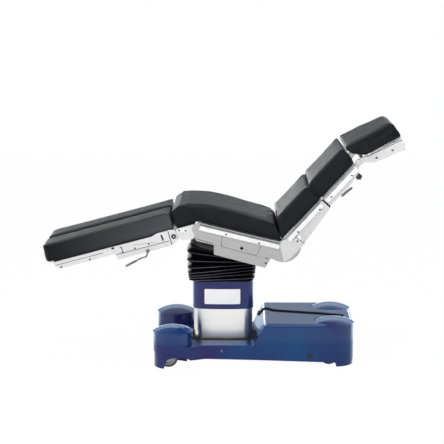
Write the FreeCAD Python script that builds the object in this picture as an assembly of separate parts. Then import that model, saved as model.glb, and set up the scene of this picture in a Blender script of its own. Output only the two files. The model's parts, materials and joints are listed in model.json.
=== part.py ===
import FreeCAD, Part
import math
import os

V = FreeCAD.Vector

# Millimetres. +X runs to the head end, +Y to the patient's right, +Z up.
# The origin is on the floor under the column.

# Widths of the table top, measured from the middle plane
PAD_HALF = 270.0
PAD_CLEAR = 2.0
BOARD_INSET = 12.0
PLATE_THICK = 6.0
LUG_THICK = 9.0
LUG_GAP = 1.0
SEAT_GAP = 0.3
RAIL_THICK = 10.0
RAIL_HIGH = 25.0
RAIL_STAND = 7.0
PAD_THICK = 91.0
SEAT_PAD_THICK = 87.0
BOARD_THICK = 8.0
NECK_INSET = 52.0

# Section poses in the side view: origin (X, Z) and slope in degrees, rising to the head
LEG_HINGE = (-118.0, 780.0)
LEG_SLOPE = 14.9
SEAT_SLOPE = -13.5
BACK_HINGE_U = 450.4
BACK_HINGE_W = -6.8
BACK_SLOPE = 47.5
HEAD_ORIGIN = (699.0, 1101.0)
HEAD_SLOPE = 26.0

# Seat section, in its own length U and height W from the leg hinge
SEAT_PLATE_LOW = -97.0
SEAT_RAIL_U = (2.0, 432.0)
SEAT_RAIL_TOP = -10.0
SEAT_END_R = 34.0
LEG_AXIS_W = -16.0
LEG_PIN_R = 8.0
LEG_EYE_R = 14.0
BACK_DISC_R = 96.0
BACK_PIN_R = 9.0
BACK_EYE_R = 14.5
PIN_CLEAR = 0.05
PAD_GAP = 3.0
MITRE_SPARE = 3.0
COVER_TOP = -88.0
COVER_LOW_FRONT = -147.0
COVER_LOW_BACK = -153.0
COVER_U = (95.0, 407.0)
COVER_SLANT = 14.0
BEAM_LOW_W = -60.0
COLLAR_TOP = -136.0
COLLAR_END = 106.0

# Leg section, in its own length U and height W from the leg hinge
LEG_PIVOT = (-152.0, -32.0)
LEG_PIVOT_R = 9.0
LEG_EAR_R = 22.0
LEG_PAD_U = (-845.0, -142.0)
LEG_PAD_HALF_GAP = 14.0
LEG_CORNER_R = 36.0
LEG_PLATE_U = (-802.0, -474.0, -176.0)
LEG_PLATE_W = (-46.0, -8.0)
LEG_FLANGE_LOW = -80.0
LEG_INNER_Y = 44.0
FRONT_PAD_U = -134.0
FRONT_PAD_TOP = 114.0
FRONT_PAD_HUMP = 98.0

# Back section, in its own length U and height W from the back hinge
BACK_PAD_LOW = 22.0
BACK_SPLIT_U = 312.0
BACK_SPLIT_GAP = 4.0
BACK_END_U = 562.0
BACK_PAD_END_LEAN = 38.0
BACK_PLATE_LOW = (-80.0, -50.0)
BACK_RAIL_TOP = 10.0
UPPER_PLATE_LOW = -43.0
UPPER_RAIL_TOP = 5.0
UPPER_CROSS_U = (340.0, 500.0)
HOOK_WIDE = 14.0
HOOK_DEEP = 12.0
HOOK_W = (-30.0, -10.0)
NECK = (578.0, -2.0)
NECK_EAR_R = 17.0
NECK_EAR_THICK = 9.0
KNOB_AT = (526.0, -51.0)
KNOB_R = 17.0
LEVER_PIVOT = (398.0, -52.0)

# Head section, in its own length U and height W from its origin
HEAD_PIVOT = (62.0, -12.0)
HEAD_PAD_U = (-8.0, 270.0)
HEAD_PAD_W = (11.0, 101.0)
HEAD_TAPER = 75.0
HEAD_TAPER_U = 90.0
LINK_THICK = 10.0
LINK_EAR_R = 16.0
NECK_PIN_R = 8.0
BAIL_PIVOT = (150.0, -40.0)
BAIL_R = 6.0
BAIL_REACH = 100.0

# Column: half width, half depth and corner radius of each stage, and stroke
TOP_HALF = (163.0, 135.0)
STAGE_STEP = 5.0
SHELL_WALL = 3.0
COLUMN_CORNER = 48.0
BOW = 14.0
LOWER_TOP = 300.0
MIDDLE_Z = (166.0, 415.0)
BAND_Z = (287.5, 436.0)
BAND_TOP = 424.6
CEILING = 457.0
HEAD_PLATE = 8.0
LIFT_DOWN = 80.0
BARREL_R = (45.3, 60.0)
SLEEVE_R = (30.3, 45.0)
ROD_R = 30.0

# Tilting joint on the column head
TILT_Z = 510.0
TILT_PIN_R = 18.0
ROLL_W = -190.0
ROLL_PIN_R = 14.0
ROLL_PLAY = 2.0
HANGER_THICK = 16.0
HANGER_R = 26.0
BLOCK_HALF = (45.0, 62.0)
BLOCK_BELOW = 22.0
EAR_Y = 64.0
EAR_THICK = 16.0
EAR_R = 26.0
BELLOWS_MID = 526.0
BELLOWS_TOP_W = -153.6
BELLOWS_HALF = (184.0, 153.0)
BELLOWS_FOLD = 14.0
BELLOWS_WALL = 2.0
BELLOWS_CORNER = 48.0
BELLOWS_SHIFT = -6.0

# Base
DECK_Z = 124.0
SKIRT_LINE = ((-168.0, 52.0), (172.0, 45.0), (570.0, 33.0))
SKIRT_EDGE_R = 8.0
WALL = 4.0
BASE_HALF = 284.0
BASE_END_X = 697.0
CREST = (166.0, 226.0)
CREST_Z = 239.0
CREST_R = 22.0
WELL_GAP = 5.0
FOOT_POD = (-264.0, 250.0)
POD_R = 104.0
CAP_OVER = 3.5
FOOT_CAP_Z = (194.0, 228.0)
HEAD_CAP_Z = (229.3, 259.0)
POD_STEP_Z = 90.0
POD_LOW = 10.0
GROOVE = ((596.0, -40.0), (528.0, -9.0), (474.0, 3.0), (420.0, 17.0), (366.0, 32.0), (311.0, 46.0),
          (274.0, 58.0), (250.0, 92.0), (222.0, 130.0), (200.0, 190.0), (196.0, 262.0))
GROOVE_WIDE = 7.0
GROOVE_DEEP = 2.2
SOCKET_AT = (461.0, 67.0)
SOCKET_R = 11.0
SOCKET_BORE_R = 7.0
SOCKET_DEPTH = 5.0
SOCKET_PROUD = 2.0
FRAME_Z = (109.0, DECK_Z - WALL - SEAT_GAP)
BEAM_Y = (104.0, 134.0)
BEAM_LOW = 66.0
CELL_X = (230.0, 430.0)

# Casters and floor lock feet
WHEEL_R = 50.0
WHEEL_HALF = 15.0
TREAD = 12.0
TRAIL = 25.0
AXLE_R = 6.0
FORK_THICK = 5.0
STEM_R = 11.0
FOOT_AT = ((-150.0, 70.0), (480.0, 70.0))
FOOT_R = 24.0
FOOT_STEM_R = 10.0
FOOT_HIGH = 14.0
GUIDE_R = 17.0


def box(x, y, z):
    """Box between pairs of limits."""
    return Part.makeBox(x[1] - x[0], y[1] - y[0], z[1] - z[0], V(x[0], y[0], z[0]))


def rod(radius, start, end):
    """Round bar between two points."""
    line = V(*end) - V(*start)
    return Part.makeCylinder(radius, line.Length, V(*start), line)


def fuse(shapes):
    """One solid out of touching pieces, without inner seams."""
    return shapes[0].multiFuse(shapes[1:]).removeSplitter()


def cut(shape, tools):
    return shape.cut(Part.makeCompound(tools))


def mirrored(shape):
    """The same piece on the other side of the middle plane."""
    return shape.mirror(V(0, 0, 0), V(0, 1, 0))


def pair(shape):
    return Part.makeCompound([shape, mirrored(shape)])


def rounded_wire(points):
    """Closed wire through corners (vector, radius), each corner an arc."""
    count = len(points)
    ends = []
    for i, (corner, radius) in enumerate(points):
        before = points[i - 1][0] - corner
        after = points[(i + 1) % count][0] - corner
        if radius == 0:
            ends.append((corner, corner, corner))
            continue
        half = before.getAngle(after) / 2
        before.normalize()
        after.normalize()
        reach = radius / math.tan(half)
        middle = before + after
        middle.normalize()
        depth = radius / math.sin(half) - radius
        ends.append((corner + before * reach, corner + middle * depth, corner + after * reach))
    edges = []
    for i, (start, middle, end) in enumerate(ends):
        if (end - start).Length > 1e-6:
            edges.append(Part.Arc(start, middle, end).toShape())
        following = ends[(i + 1) % count][0]
        if (following - end).Length > 1e-6:
            edges.append(Part.LineSegment(end, following).toShape())
    return Part.Wire(edges)


def side_profile(points, y0, y1):
    """Plate with its outline given as (U, W, corner radius), from y0 to y1."""
    wire = rounded_wire([(V(u, y0, w), r) for u, w, r in points])
    return Part.Face(wire).extrude(V(0, y1 - y0, 0))


def plan_profile(points, z0, z1):
    """Slab with its outline given as (X, Y, corner radius), from z0 to z1."""
    wire = rounded_wire([(V(x, y, z0), r) for x, y, r in points])
    return Part.Face(wire).extrude(V(0, 0, z1 - z0))


def bent_rod(radius, points, y):
    """Round bar along points ((U, W), bend radius) in one plane."""
    edges = []
    last = V(points[0][0][0], y, points[0][0][1])
    for i in range(1, len(points) - 1):
        corner = V(points[i][0][0], y, points[i][0][1])
        before = V(points[i - 1][0][0], y, points[i - 1][0][1]) - corner
        after = V(points[i + 1][0][0], y, points[i + 1][0][1]) - corner
        half = before.getAngle(after) / 2
        before.normalize()
        after.normalize()
        middle = before + after
        middle.normalize()
        reach = points[i][1] / math.tan(half)
        depth = points[i][1] / math.sin(half) - points[i][1]
        edges.append(Part.LineSegment(last, corner + before * reach).toShape())
        edges.append(Part.Arc(corner + before * reach, corner + middle * depth,
                              corner + after * reach).toShape())
        last = corner + after * reach
    end = V(points[-1][0][0], y, points[-1][0][1])
    edges.append(Part.LineSegment(last, end).toShape())
    start = V(points[0][0][0], y, points[0][0][1])
    ring = Part.Wire(Part.makeCircle(radius, start, edges[0].tangentAt(edges[0].FirstParameter)))
    return Part.Wire(edges).makePipeShell([ring], True, False)


def disc(at, radius, y0, y1):
    """Round plate across the table, centred at (U, W)."""
    return rod(radius, (at[0], y0, at[1]), (at[0], y1, at[1]))


def link_plate(a, b, radius_a, radius_b, y0, y1):
    """Plate with round ends about two pivots."""
    along = math.atan2(b[1] - a[1], b[0] - a[0])
    reach = math.hypot(b[0] - a[0], b[1] - a[1])
    lean = math.asin((radius_a - radius_b) / reach)
    corners = []
    for centre, radius, side in ((a, radius_a, 1), (b, radius_b, 1), (b, radius_b, -1), (a, radius_a, -1)):
        turn = along + side * (math.pi / 2 - lean)
        corners.append((centre[0] + radius * math.cos(turn), centre[1] + radius * math.sin(turn), 0))
    bar = side_profile(corners, y0, y1)
    return fuse([bar, disc(a, radius_a, y0, y1), disc(b, radius_b, y0, y1)])


def posed(shape, origin, slope):
    """Section in its own U, Y, W turned to its slope and moved to its origin."""
    turned = shape.copy()
    turned.rotate(V(0, 0, 0), V(0, 1, 0), -slope)
    turned.translate(V(origin[0], 0, origin[1]))
    return turned


def world_point(origin, slope, point):
    """World (X, Z) of a section's (U, W)."""
    turn = math.radians(slope)
    x = origin[0] + point[0] * math.cos(turn) - point[1] * math.sin(turn)
    z = origin[1] + point[0] * math.sin(turn) + point[1] * math.cos(turn)
    return x, z


def local_point(origin, slope, place):
    """A section's (U, W) of a world (X, Z)."""
    turn = math.radians(slope)
    dx, dz = place[0] - origin[0], place[1] - origin[1]
    return dx * math.cos(turn) + dz * math.sin(turn), dz * math.cos(turn) - dx * math.sin(turn)


FLEX = math.radians(LEG_SLOPE - SEAT_SLOPE)
LEG_AXIS = (LEG_AXIS_W * math.sin(FLEX), LEG_AXIS_W * math.cos(FLEX))
BACK_HINGE = world_point(LEG_HINGE, SEAT_SLOPE, (BACK_HINGE_U, BACK_HINGE_W))
NECK_IN_HEAD = local_point(HEAD_ORIGIN, HEAD_SLOPE, world_point(BACK_HINGE, BACK_SLOPE, NECK))
BLOCK_U = local_point(LEG_HINGE, SEAT_SLOPE, (0, TILT_Z))[0]
PLATE_IN = PAD_HALF + PAD_CLEAR
BOARD_HALF = PAD_HALF - BOARD_INSET
POST_Y = (18 - BOARD_HALF, -6.0, BOARD_HALF - 30)
HOOK_Y = (18 - BOARD_HALF, BOARD_HALF - 32)
HEAD_PLATE_Y = PAD_HALF - NECK_INSET
NECK_EAR_Y = HEAD_PLATE_Y
LINK_Y = HEAD_PLATE_Y - LINK_THICK - 1
BAIL_HALF = HEAD_PLATE_Y - 22
HEAD_END_HALF = PAD_HALF - HEAD_TAPER
HEAD_POD = (BASE_END_X - POD_R, BASE_HALF - POD_R)
LUG_OUT = PLATE_IN - LUG_GAP
LUG_IN = LUG_OUT - LUG_THICK
PLATE_OUT = PLATE_IN + PLATE_THICK
RAIL_IN = PLATE_OUT + RAIL_STAND
RAIL_OUT = RAIL_IN + RAIL_THICK


def roll_place(x, w=ROLL_W):
    """U on the seat's line W over a place X on the floor, and the height there."""
    turn = math.radians(SEAT_SLOPE)
    u = (x - LEG_HINGE[0] + w * math.sin(turn)) / math.cos(turn)
    return u, LEG_HINGE[1] + u * math.sin(turn) + w * math.cos(turn)


def seat_piece(shape):
    return posed(shape, LEG_HINGE, SEAT_SLOPE)


def leg_piece(shape):
    return posed(shape, LEG_HINGE, LEG_SLOPE)


def back_piece(shape):
    return posed(shape, BACK_HINGE, BACK_SLOPE)


def head_piece(shape):
    return posed(shape, HEAD_ORIGIN, HEAD_SLOPE)


def accessory_rail(u_start, u_end, top, studs):
    """Rail of standard section on the near side, and the round spacers to its side plate."""
    bar = box((u_start, u_end), (-RAIL_OUT, -RAIL_IN), (top - RAIL_HIGH, top))
    ends = [edge for edge in bar.Edges if abs(edge.Length - RAIL_THICK) < 1e-6]
    bar = bar.makeChamfer(2.0, ends)
    spacers = [rod(9.0, (u, -RAIL_IN, top - RAIL_HIGH / 2), (u, -PLATE_OUT, top - RAIL_HIGH / 2))
               for u in studs]
    return [bar] + spacers


def rail_set(*rails):
    """Rails with their spacers on both sides of the table."""
    near = [solid for rail in rails for solid in rail]
    return Part.makeCompound(near + [mirrored(solid) for solid in near])


# Seat section

def back_mitre(height):
    """Distance from the back hinge, along a section, of a pad's end at a height over the hinge."""
    half = (BACK_SLOPE - SEAT_SLOPE) / 2 + MITRE_SPARE
    return height * math.tan(math.radians(half))


def seat_side_plates():
    """Steel side plates that end in the round housings of the two hinges."""
    hinge = (BACK_HINGE_U, BACK_HINGE_W)
    sheet = side_profile([(-2, 0, 0), (BACK_HINGE_U - 60, 0, 0), (BACK_HINGE_U, SEAT_PLATE_LOW, 0),
                          (-20, SEAT_PLATE_LOW, 26)], -PLATE_OUT, -PLATE_IN)
    front_eye = disc((0, -SEAT_END_R), SEAT_END_R, -PLATE_OUT, -PLATE_IN)
    back_eye = disc(hinge, BACK_DISC_R, -PLATE_OUT, -PLATE_IN)
    plate = fuse([sheet, front_eye, back_eye])
    above = box((BACK_HINGE_U - 2 * BACK_DISC_R, BACK_HINGE_U + 2 * BACK_DISC_R),
                (-RAIL_OUT, -LUG_IN), (0, 2 * BACK_DISC_R))
    hole = disc((243, -79), 8.5, -RAIL_OUT, -LUG_IN)
    plate = cut(plate, [above, hole])
    pins = [disc((0, LEG_AXIS_W), LEG_PIN_R, -PLATE_IN - 1, -LUG_IN + 3),
            disc(hinge, BACK_PIN_R, -PLATE_IN - 1, -LUG_IN + 3)]
    cap = disc(hinge, 22.0, -PLATE_OUT - 2, -PLATE_OUT + 1)
    return seat_piece(pair(fuse([plate, cap] + pins)))


def seat_rails():
    return seat_piece(rail_set(accessory_rail(*SEAT_RAIL_U, SEAT_RAIL_TOP, (60, 225, 390))))


def seat_frame():
    """Welded inner frame: two long beams, cross beams, and the roll shaft below."""
    out = PAD_HALF - 55
    beam = box((60, 390), (-out, 20 - out), (BEAM_LOW_W, 0))
    cross = [box((u, u + 22), (-PLATE_IN, PLATE_IN), (-28, -11)) for u in (130, 300)]
    deck = box((70, 380), (-out, out), (-12, 0))
    reach = BLOCK_HALF[0] + ROLL_PLAY
    starts = (BLOCK_U - reach - HANGER_THICK, BLOCK_U + reach)
    hangers = []
    for u in starts:
        hangers.append(box((u, u + HANGER_THICK), (-50, 50), (ROLL_W + HANGER_R, -12)))
        hangers.append(rod(HANGER_R, (u, 0, ROLL_W), (u + HANGER_THICK, 0, ROLL_W)))
        hangers.append(box((u, u + HANGER_THICK), (-HANGER_R, HANGER_R), (ROLL_W, ROLL_W + HANGER_R + 1)))
    shaft = rod(ROLL_PIN_R, (starts[0], 0, ROLL_W), (starts[1] + HANGER_THICK, 0, ROLL_W))
    return seat_piece(fuse([beam, mirrored(beam), deck, shaft] + cross + hangers))


def bellows_collar():
    """Dark collar that closes the front of the bellows below the seat."""
    half_x, half_y = (half - BELLOWS_FOLD for half in BELLOWS_HALF)
    low = BELLOWS_TOP_W + SEAT_GAP
    wire = column_ring(half_x, half_y, BELLOWS_CORNER, low)
    inner = column_ring(half_x - 4, half_y - 4, BELLOWS_CORNER - 4, BELLOWS_TOP_W)
    wall = Part.Face(wire).extrude(V(0, 0, COLLAR_TOP - low))
    room = Part.Face(inner).extrude(V(0, 0, COLLAR_TOP - BELLOWS_TOP_W - 4))
    collar = wall.cut(room)
    middle = roll_place(BELLOWS_SHIFT, BELLOWS_TOP_W)[0]
    collar.translate(V(middle, 0, 0))
    return seat_piece(collar.common(box((-400, COLLAR_END), (-400, 400), (-400, 0))))


def seat_lower_cover():
    """Folded sheet tray that closes the drives from below."""
    u0, u1 = COVER_U
    half = PLATE_IN - SEAT_GAP
    outer = side_profile([(u0, COVER_TOP, 0), (u0 + COVER_SLANT, COVER_LOW_FRONT, 8),
                          (u1 - COVER_SLANT - 4, COVER_LOW_BACK, 8), (u1, COVER_TOP, 0)],
                         -half, half)
    inner = side_profile([(u0 + 3, COVER_TOP + 1, 0), (u0 + COVER_SLANT + 2, COVER_LOW_FRONT + 3, 6),
                          (u1 - COVER_SLANT - 6, COVER_LOW_BACK + 3, 6), (u1 - 3, COVER_TOP + 1, 0)],
                         -half + 3, half - 3)
    shaft_way = box((u0 + 5, 243), (-75, 75), (COVER_LOW_BACK - 2, COVER_LOW_FRONT + 8))
    return seat_piece(cut(outer, [inner, shaft_way]))


def seat_board():
    return seat_piece(box((3, BACK_HINGE_U - 8), (-BOARD_HALF, BOARD_HALF), (0.3, BOARD_THICK)))


def seat_pad():
    low = BOARD_THICK + 0.3
    top = low + SEAT_PAD_THICK
    low_end = BACK_HINGE_U - back_mitre(low - BACK_HINGE_W)
    top_end = BACK_HINGE_U - back_mitre(top - BACK_HINGE_W)
    pad = side_profile([(PAD_GAP, low, 6), (PAD_GAP, top, 16), (top_end, top, 12), (low_end, low, 3)],
                       -PAD_HALF, PAD_HALF)
    return seat_piece(pad)


def drive_motors():
    """Two drives for the leg hinge and two for the back hinge, each a motor with its gear head."""
    pairs = []
    for y, ends, gear, foot in ((-160, (70, 190), (40, 70), (75, 120)),
                                (-120, (215, 330), (330, 365), (232, 285))):
        motor = rod(24.0, (ends[0], y, -62), (ends[1], y, -62))
        head = rod(28.0, (gear[0], y, -62), (gear[1], y, -62))
        seat = box(foot, (y - 12, y + 12), (-44, -12))
        unit = fuse([motor, head, seat])
        pairs += [unit, mirrored(unit)]
    return seat_piece(Part.makeCompound(pairs))


# Leg bracket and leg plates

def leg_bracket():
    """Swinging frame in front of the seat that carries the two leg plates."""
    hinge = LEG_AXIS
    outline = [(-131, 0, 4), (-131, -44, 14), (-112, -66, 10), (-58, -74, 20),
               (hinge[0] + 2, hinge[1] - 12, 10), (hinge[0] + 12, hinge[1], 6), (hinge[0] + 6, -1, 0)]
    side = side_profile(outline, -LUG_OUT, -LUG_IN)
    eye = disc(hinge, LEG_EYE_R, -LUG_OUT, -LUG_IN)
    ear = link_plate(LEG_PIVOT, (-120, -34), LEG_EAR_R, LEG_EAR_R, -LUG_OUT, -LUG_IN)
    side = fuse([side, eye, ear])
    side = cut(side, [disc(hinge, LEG_PIN_R + PIN_CLEAR, -PLATE_OUT, -LUG_IN + 5),
                      disc(LEG_PIVOT, LEG_PIVOT_R + PIN_CLEAR, -PLATE_OUT, -LUG_IN + 5)])
    inner_ear = link_plate(LEG_PIVOT, (-112, -34), LEG_EAR_R - 2, LEG_EAR_R - 2,
                           -LEG_INNER_Y + 2, -LEG_INNER_Y + 11)
    inner_ear = cut(inner_ear, [disc(LEG_PIVOT, LEG_PIVOT_R + PIN_CLEAR, -LEG_INNER_Y, 0)])
    tube = rod(15.0, (-104, -LUG_IN - 1, -36), (-104, LUG_IN + 1, -36))
    tray = box((-126, -30), (-LUG_IN - 1, LUG_IN + 1), (-4, 0))
    ribs = [box((-120, -88), (y, y + 8), (-30, -3)) for y in (70 - PAD_HALF, -4, PAD_HALF - 78)]
    return leg_piece(fuse([side, mirrored(side), inner_ear, mirrored(inner_ear), tube, tray] + ribs))


def seat_pad_front():
    low = 0.3
    end = LEG_AXIS[0] - PAD_GAP
    pad = side_profile([(FRONT_PAD_U, low + 4, 5), (FRONT_PAD_U, FRONT_PAD_TOP, 20),
                        (end, FRONT_PAD_HUMP, 10), (end, low, 3)], -PAD_HALF, PAD_HALF)
    return leg_piece(pad)


def leg_frame():
    """Leg plate of the near side: board, edge plates, flange and coupling block."""
    foot, middle, coupling = LEG_PLATE_U
    low, top = LEG_PLATE_W
    outer = -PLATE_OUT
    board = plan_profile([(LEG_PAD_U[0] + 15, -BOARD_HALF, LEG_CORNER_R), (-150, -BOARD_HALF, 4),
                          (-150, -LEG_PAD_HALF_GAP - 6, 4), (LEG_PAD_U[0] + 15, -LEG_PAD_HALF_GAP - 6, 20)],
                         -BOARD_THICK, -0.3)
    board_lip = box((foot + 40, coupling), (-PLATE_OUT + 1, -BOARD_HALF + 2), (-BOARD_THICK - 1, top + 2))
    long_cover = side_profile([(foot, top + 2, 0), (foot, low + 22, 0), (foot + 22, low, 14),
                               (middle - 1, low, 0), (middle - 1, top + 2, 0)], outer, -PLATE_IN)
    short_cover = side_profile([(middle + 1, top + 2, 0), (middle + 1, low - 6, 0), (coupling, low - 6, 8),
                                (coupling, top + 12, 4), (coupling - 60, top + 12, 8),
                                (coupling - 90, top + 2, 8)], outer, -PLATE_IN)
    flange = side_profile([(middle + 4, low - 5, 0), (middle + 4, LEG_FLANGE_LOW, 8),
                           (coupling + 2, LEG_FLANGE_LOW + 2, 8), (coupling + 2, low - 5, 0)],
                          -PLATE_IN - 1, -PLATE_IN + 6)
    bridge = box((middle - 30, middle + 30), (-PLATE_IN - 1, -PLATE_IN + 8), (low + 6, top - 2))
    block = side_profile([(coupling - 3, 8, 6), (coupling - 3, -77, 8), (LEG_PIVOT[0] + 14, -62, 14),
                          (LEG_PIVOT[0] + 16, 0, 14)], -PLATE_OUT - 6, -PLATE_IN)
    inner_rail = box((LEG_PAD_U[0] + 60, -170), (-LEG_INNER_Y - 8, -LEG_INNER_Y), (-34, -BOARD_THICK + 1))
    inner_lug = link_plate(LEG_PIVOT, (-190, -20), LEG_EAR_R - 4, 14.0, -LEG_INNER_Y - 8, -LEG_INNER_Y)
    outer_rail = box((foot + 30, coupling - 20), (22 - BOARD_HALF, 30 - BOARD_HALF), (-34, 1 - BOARD_THICK))
    cross = [box((u, u + 20), (-PLATE_IN - 1, -LEG_INNER_Y - 1), (-30, -BOARD_THICK + 1))
             for u in (-770, -585, -400, -215)]
    pins = [disc(LEG_PIVOT, LEG_PIVOT_R, -PLATE_IN - 1, -LUG_IN + 3),
            disc(LEG_PIVOT, LEG_PIVOT_R, -LEG_INNER_Y - 1, -LEG_INNER_Y + 13)]
    button = disc(LEG_PIVOT, 12.0, -PLATE_OUT - 10, -PLATE_OUT - 5)
    return leg_piece(fuse([board, board_lip, long_cover, short_cover, flange, bridge, block, inner_rail,
                           inner_lug, outer_rail, button] + cross + pins))


def leg_pad():
    foot, hip = LEG_PAD_U
    blank = plan_profile([(foot, -PAD_HALF, LEG_CORNER_R), (hip, -PAD_HALF, 10),
                          (hip, -LEG_PAD_HALF_GAP, 10), (foot, -LEG_PAD_HALF_GAP, 20)], 0, PAD_THICK)
    rims = [edge for edge in blank.Edges if abs(edge.CenterOfMass.z - PAD_THICK) < 1e-6]
    return leg_piece(blank.makeFillet(12.0, rims))


def leg_lever():
    """Bent rod that frees the leg plate's pivot, on the near side."""
    start = (-304, -74)
    y = -PLATE_IN - 10
    bar = bent_rod(4.0, [(start, 0), ((-318, -100), 14), ((-344, -100), 20), ((-435, -121), 0)], y)
    grip = rod(6.0, (-375, y, -107.15), (-437, y, -121.45))
    boss = disc(start, 9.0, y - 5, -PLATE_IN - 1.3)
    return leg_piece(fuse([boss, grip, bar]))


# Back section

def back_lug():
    plate = link_plate((0, 0), (190, -22), BACK_EYE_R, 24.0, -LUG_OUT, -LUG_IN)
    return cut(plate, [disc((0, 0), BACK_PIN_R + PIN_CLEAR, -PLATE_OUT, -LUG_IN + 5)])


def back_frame_lower():
    """Lower back frame: tapered side plates, inner lugs, cross tubes and the pad board."""
    end = BACK_SPLIT_U - 6
    last = BACK_SPLIT_U - 50
    low, tip = BACK_PLATE_LOW
    sheet = side_profile([(60, low, 14), (end, tip, 3), (end, 8, 3), (60, 8, 0)], -PLATE_OUT, -PLATE_IN)
    sheet = cut(sheet, [disc((0, 0), BACK_DISC_R + 2, -RAIL_OUT, -LUG_IN)])
    tie = box((120, 175), (-PLATE_IN - 1, -LUG_OUT + 1), (-34, -8))
    cross = [box((u, u + 24), (-PLATE_IN - 1, PLATE_IN + 1), (-34, 2)) for u in (150, last)]
    board = box((24, BACK_SPLIT_U - 2), (-BOARD_HALF, BOARD_HALF),
                (BACK_PAD_LOW - BOARD_THICK, BACK_PAD_LOW - 0.3))
    posts = [box((u, u + 24), (y, y + 12), (1, BACK_PAD_LOW - 7)) for u in (150, last) for y in POST_Y]
    hooks = [box((last, UPPER_CROSS_U[0] + HOOK_DEEP), (y, y + HOOK_WIDE), HOOK_W) for y in HOOK_Y]
    sides = [sheet, back_lug(), tie]
    return back_piece(fuse(sides + [mirrored(side) for side in sides] + [board] + cross + posts + hooks))


def back_pad_lower():
    low = BACK_PAD_LOW
    top = low + PAD_THICK
    end = BACK_SPLIT_U - BACK_SPLIT_GAP / 2
    pad = side_profile([(back_mitre(low), low, 3), (back_mitre(top), top, 12), (end, top, 8),
                        (end, low, 4)], -PAD_HALF, PAD_HALF)
    return back_piece(pad)


def back_frame_upper():
    """Upper back frame, hooked on the lower one, with the neck ears."""
    start = BACK_SPLIT_U + 4
    sheet = side_profile([(start, UPPER_PLATE_LOW, 3), (BACK_END_U - 84, UPPER_PLATE_LOW, 20),
                          (BACK_END_U - 14, UPPER_PLATE_LOW + 12, 20), (BACK_END_U, 0, 8),
                          (BACK_END_U, 8, 3), (start, 8, 3)], -PLATE_OUT, -PLATE_IN)
    cross = [box((u, u + 24), (-PLATE_IN - 1, PLATE_IN + 1), (-34, 2)) for u in UPPER_CROSS_U]
    board = box((BACK_SPLIT_U + 2, BACK_END_U - 2), (-BOARD_HALF, BOARD_HALF),
                (BACK_PAD_LOW - BOARD_THICK, BACK_PAD_LOW - 0.3))
    posts = [box((u, u + 24), (y, y + 12), (1, BACK_PAD_LOW - 7)) for u in UPPER_CROSS_U for y in POST_Y]
    ears = []
    for side in (-1, 1):
        y0, y1 = sorted((side * NECK_EAR_Y, side * (NECK_EAR_Y + NECK_EAR_THICK)))
        ear = link_plate((510, -16), NECK, 15.0, NECK_EAR_R, y0, y1)
        ears.append(ear)
        ears.append(disc(NECK, NECK_PIN_R, *sorted((side * (NECK_EAR_Y + 2), side * (LINK_Y - 3)))))
        ears.append(link_plate((510, -16), KNOB_AT, 15.0, 12.0, y0, y1))
    lever_lug = link_plate((398, -20), LEVER_PIVOT, 12.0, 9.0, -LUG_OUT, -LUG_IN)
    lever_tie = box((388, 408), (-PLATE_IN - 1, -LUG_OUT + 1), (-30, -10))
    slots = [disc(LEVER_PIVOT, 5.0 + PIN_CLEAR, -PLATE_OUT, -LUG_IN + 5)]
    start = UPPER_CROSS_U[0]
    slots += [box((start - 1, start + HOOK_DEEP + SEAT_GAP), (y - SEAT_GAP, y + HOOK_WIDE + SEAT_GAP),
                  (HOOK_W[0] - SEAT_GAP, HOOK_W[1] + SEAT_GAP)) for y in HOOK_Y]
    frame = fuse([sheet, mirrored(sheet), board, lever_lug, lever_tie] + cross + posts + ears)
    return back_piece(cut(frame, slots))


def back_pad_upper():
    low = BACK_PAD_LOW
    top = low + PAD_THICK
    start = BACK_SPLIT_U + BACK_SPLIT_GAP / 2
    end = BACK_END_U
    pad = side_profile([(start, low, 4), (start, top, 8), (end + BACK_PAD_END_LEAN - 2, top, 8),
                        (end, low, 6)], -PAD_HALF, PAD_HALF)
    return back_piece(pad)


def back_rails():
    split, end = BACK_SPLIT_U, BACK_END_U
    lower = accessory_rail(34, split - 20, BACK_RAIL_TOP, (125, 205, split - 32))
    upper = accessory_rail(split + 10, end - 9, UPPER_RAIL_TOP, (split + 23, 440, end - 22))
    return back_piece(rail_set(lower, upper))


def back_lock_lever():
    """Wedge-shaped lever that locks the upper back section to the lower one."""
    lever = side_profile([(390, -48, 4), (402, -58, 4), (462, -66, 5), (464, -54, 4), (420, -46, 8)],
                         -PLATE_OUT + 1, -PLATE_IN - 1)
    pivot = disc(LEVER_PIVOT, 5.0, -PLATE_OUT + 1, -LUG_IN)
    return back_piece(fuse([lever, pivot]))


def neck_knob(side):
    """Clamping knob below the neck, with five lobes."""
    y0 = NECK_EAR_Y + NECK_EAR_THICK + 0.3
    hub = disc(KNOB_AT, 10.0, -y0 - 22, -y0)
    rim = disc(KNOB_AT, KNOB_R, -y0 - 20, -y0 - 6)
    lobes = []
    for i in range(5):
        turn = 2 * math.pi * i / 5
        at = (KNOB_AT[0] + 21 * math.cos(turn), KNOB_AT[1] + 21 * math.sin(turn))
        lobes.append(disc(at, 7.0, -y0 - 30, -y0))
    knob = fuse([hub, cut(rim, lobes)])
    return back_piece(knob if side < 0 else mirrored(knob))


# Head section

def neck_link():
    """Double-ended link between the upper back and the head plate, both sides tied by a tube."""
    arm = link_plate(NECK_IN_HEAD, HEAD_PIVOT, LINK_EAR_R, LINK_EAR_R, -LINK_Y - LINK_THICK, -LINK_Y)
    arm = cut(arm, [disc(at, NECK_PIN_R + PIN_CLEAR, -LINK_Y - 2 * LINK_THICK, 0)
                    for at in (NECK_IN_HEAD, HEAD_PIVOT)])
    middle = ((NECK_IN_HEAD[0] + HEAD_PIVOT[0]) / 2, -12.0)
    tube = rod(9.0, (middle[0], -LINK_Y - 1, middle[1]), (middle[0], LINK_Y + 1, middle[1]))
    return head_piece(fuse([arm, mirrored(arm), tube]))


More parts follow.
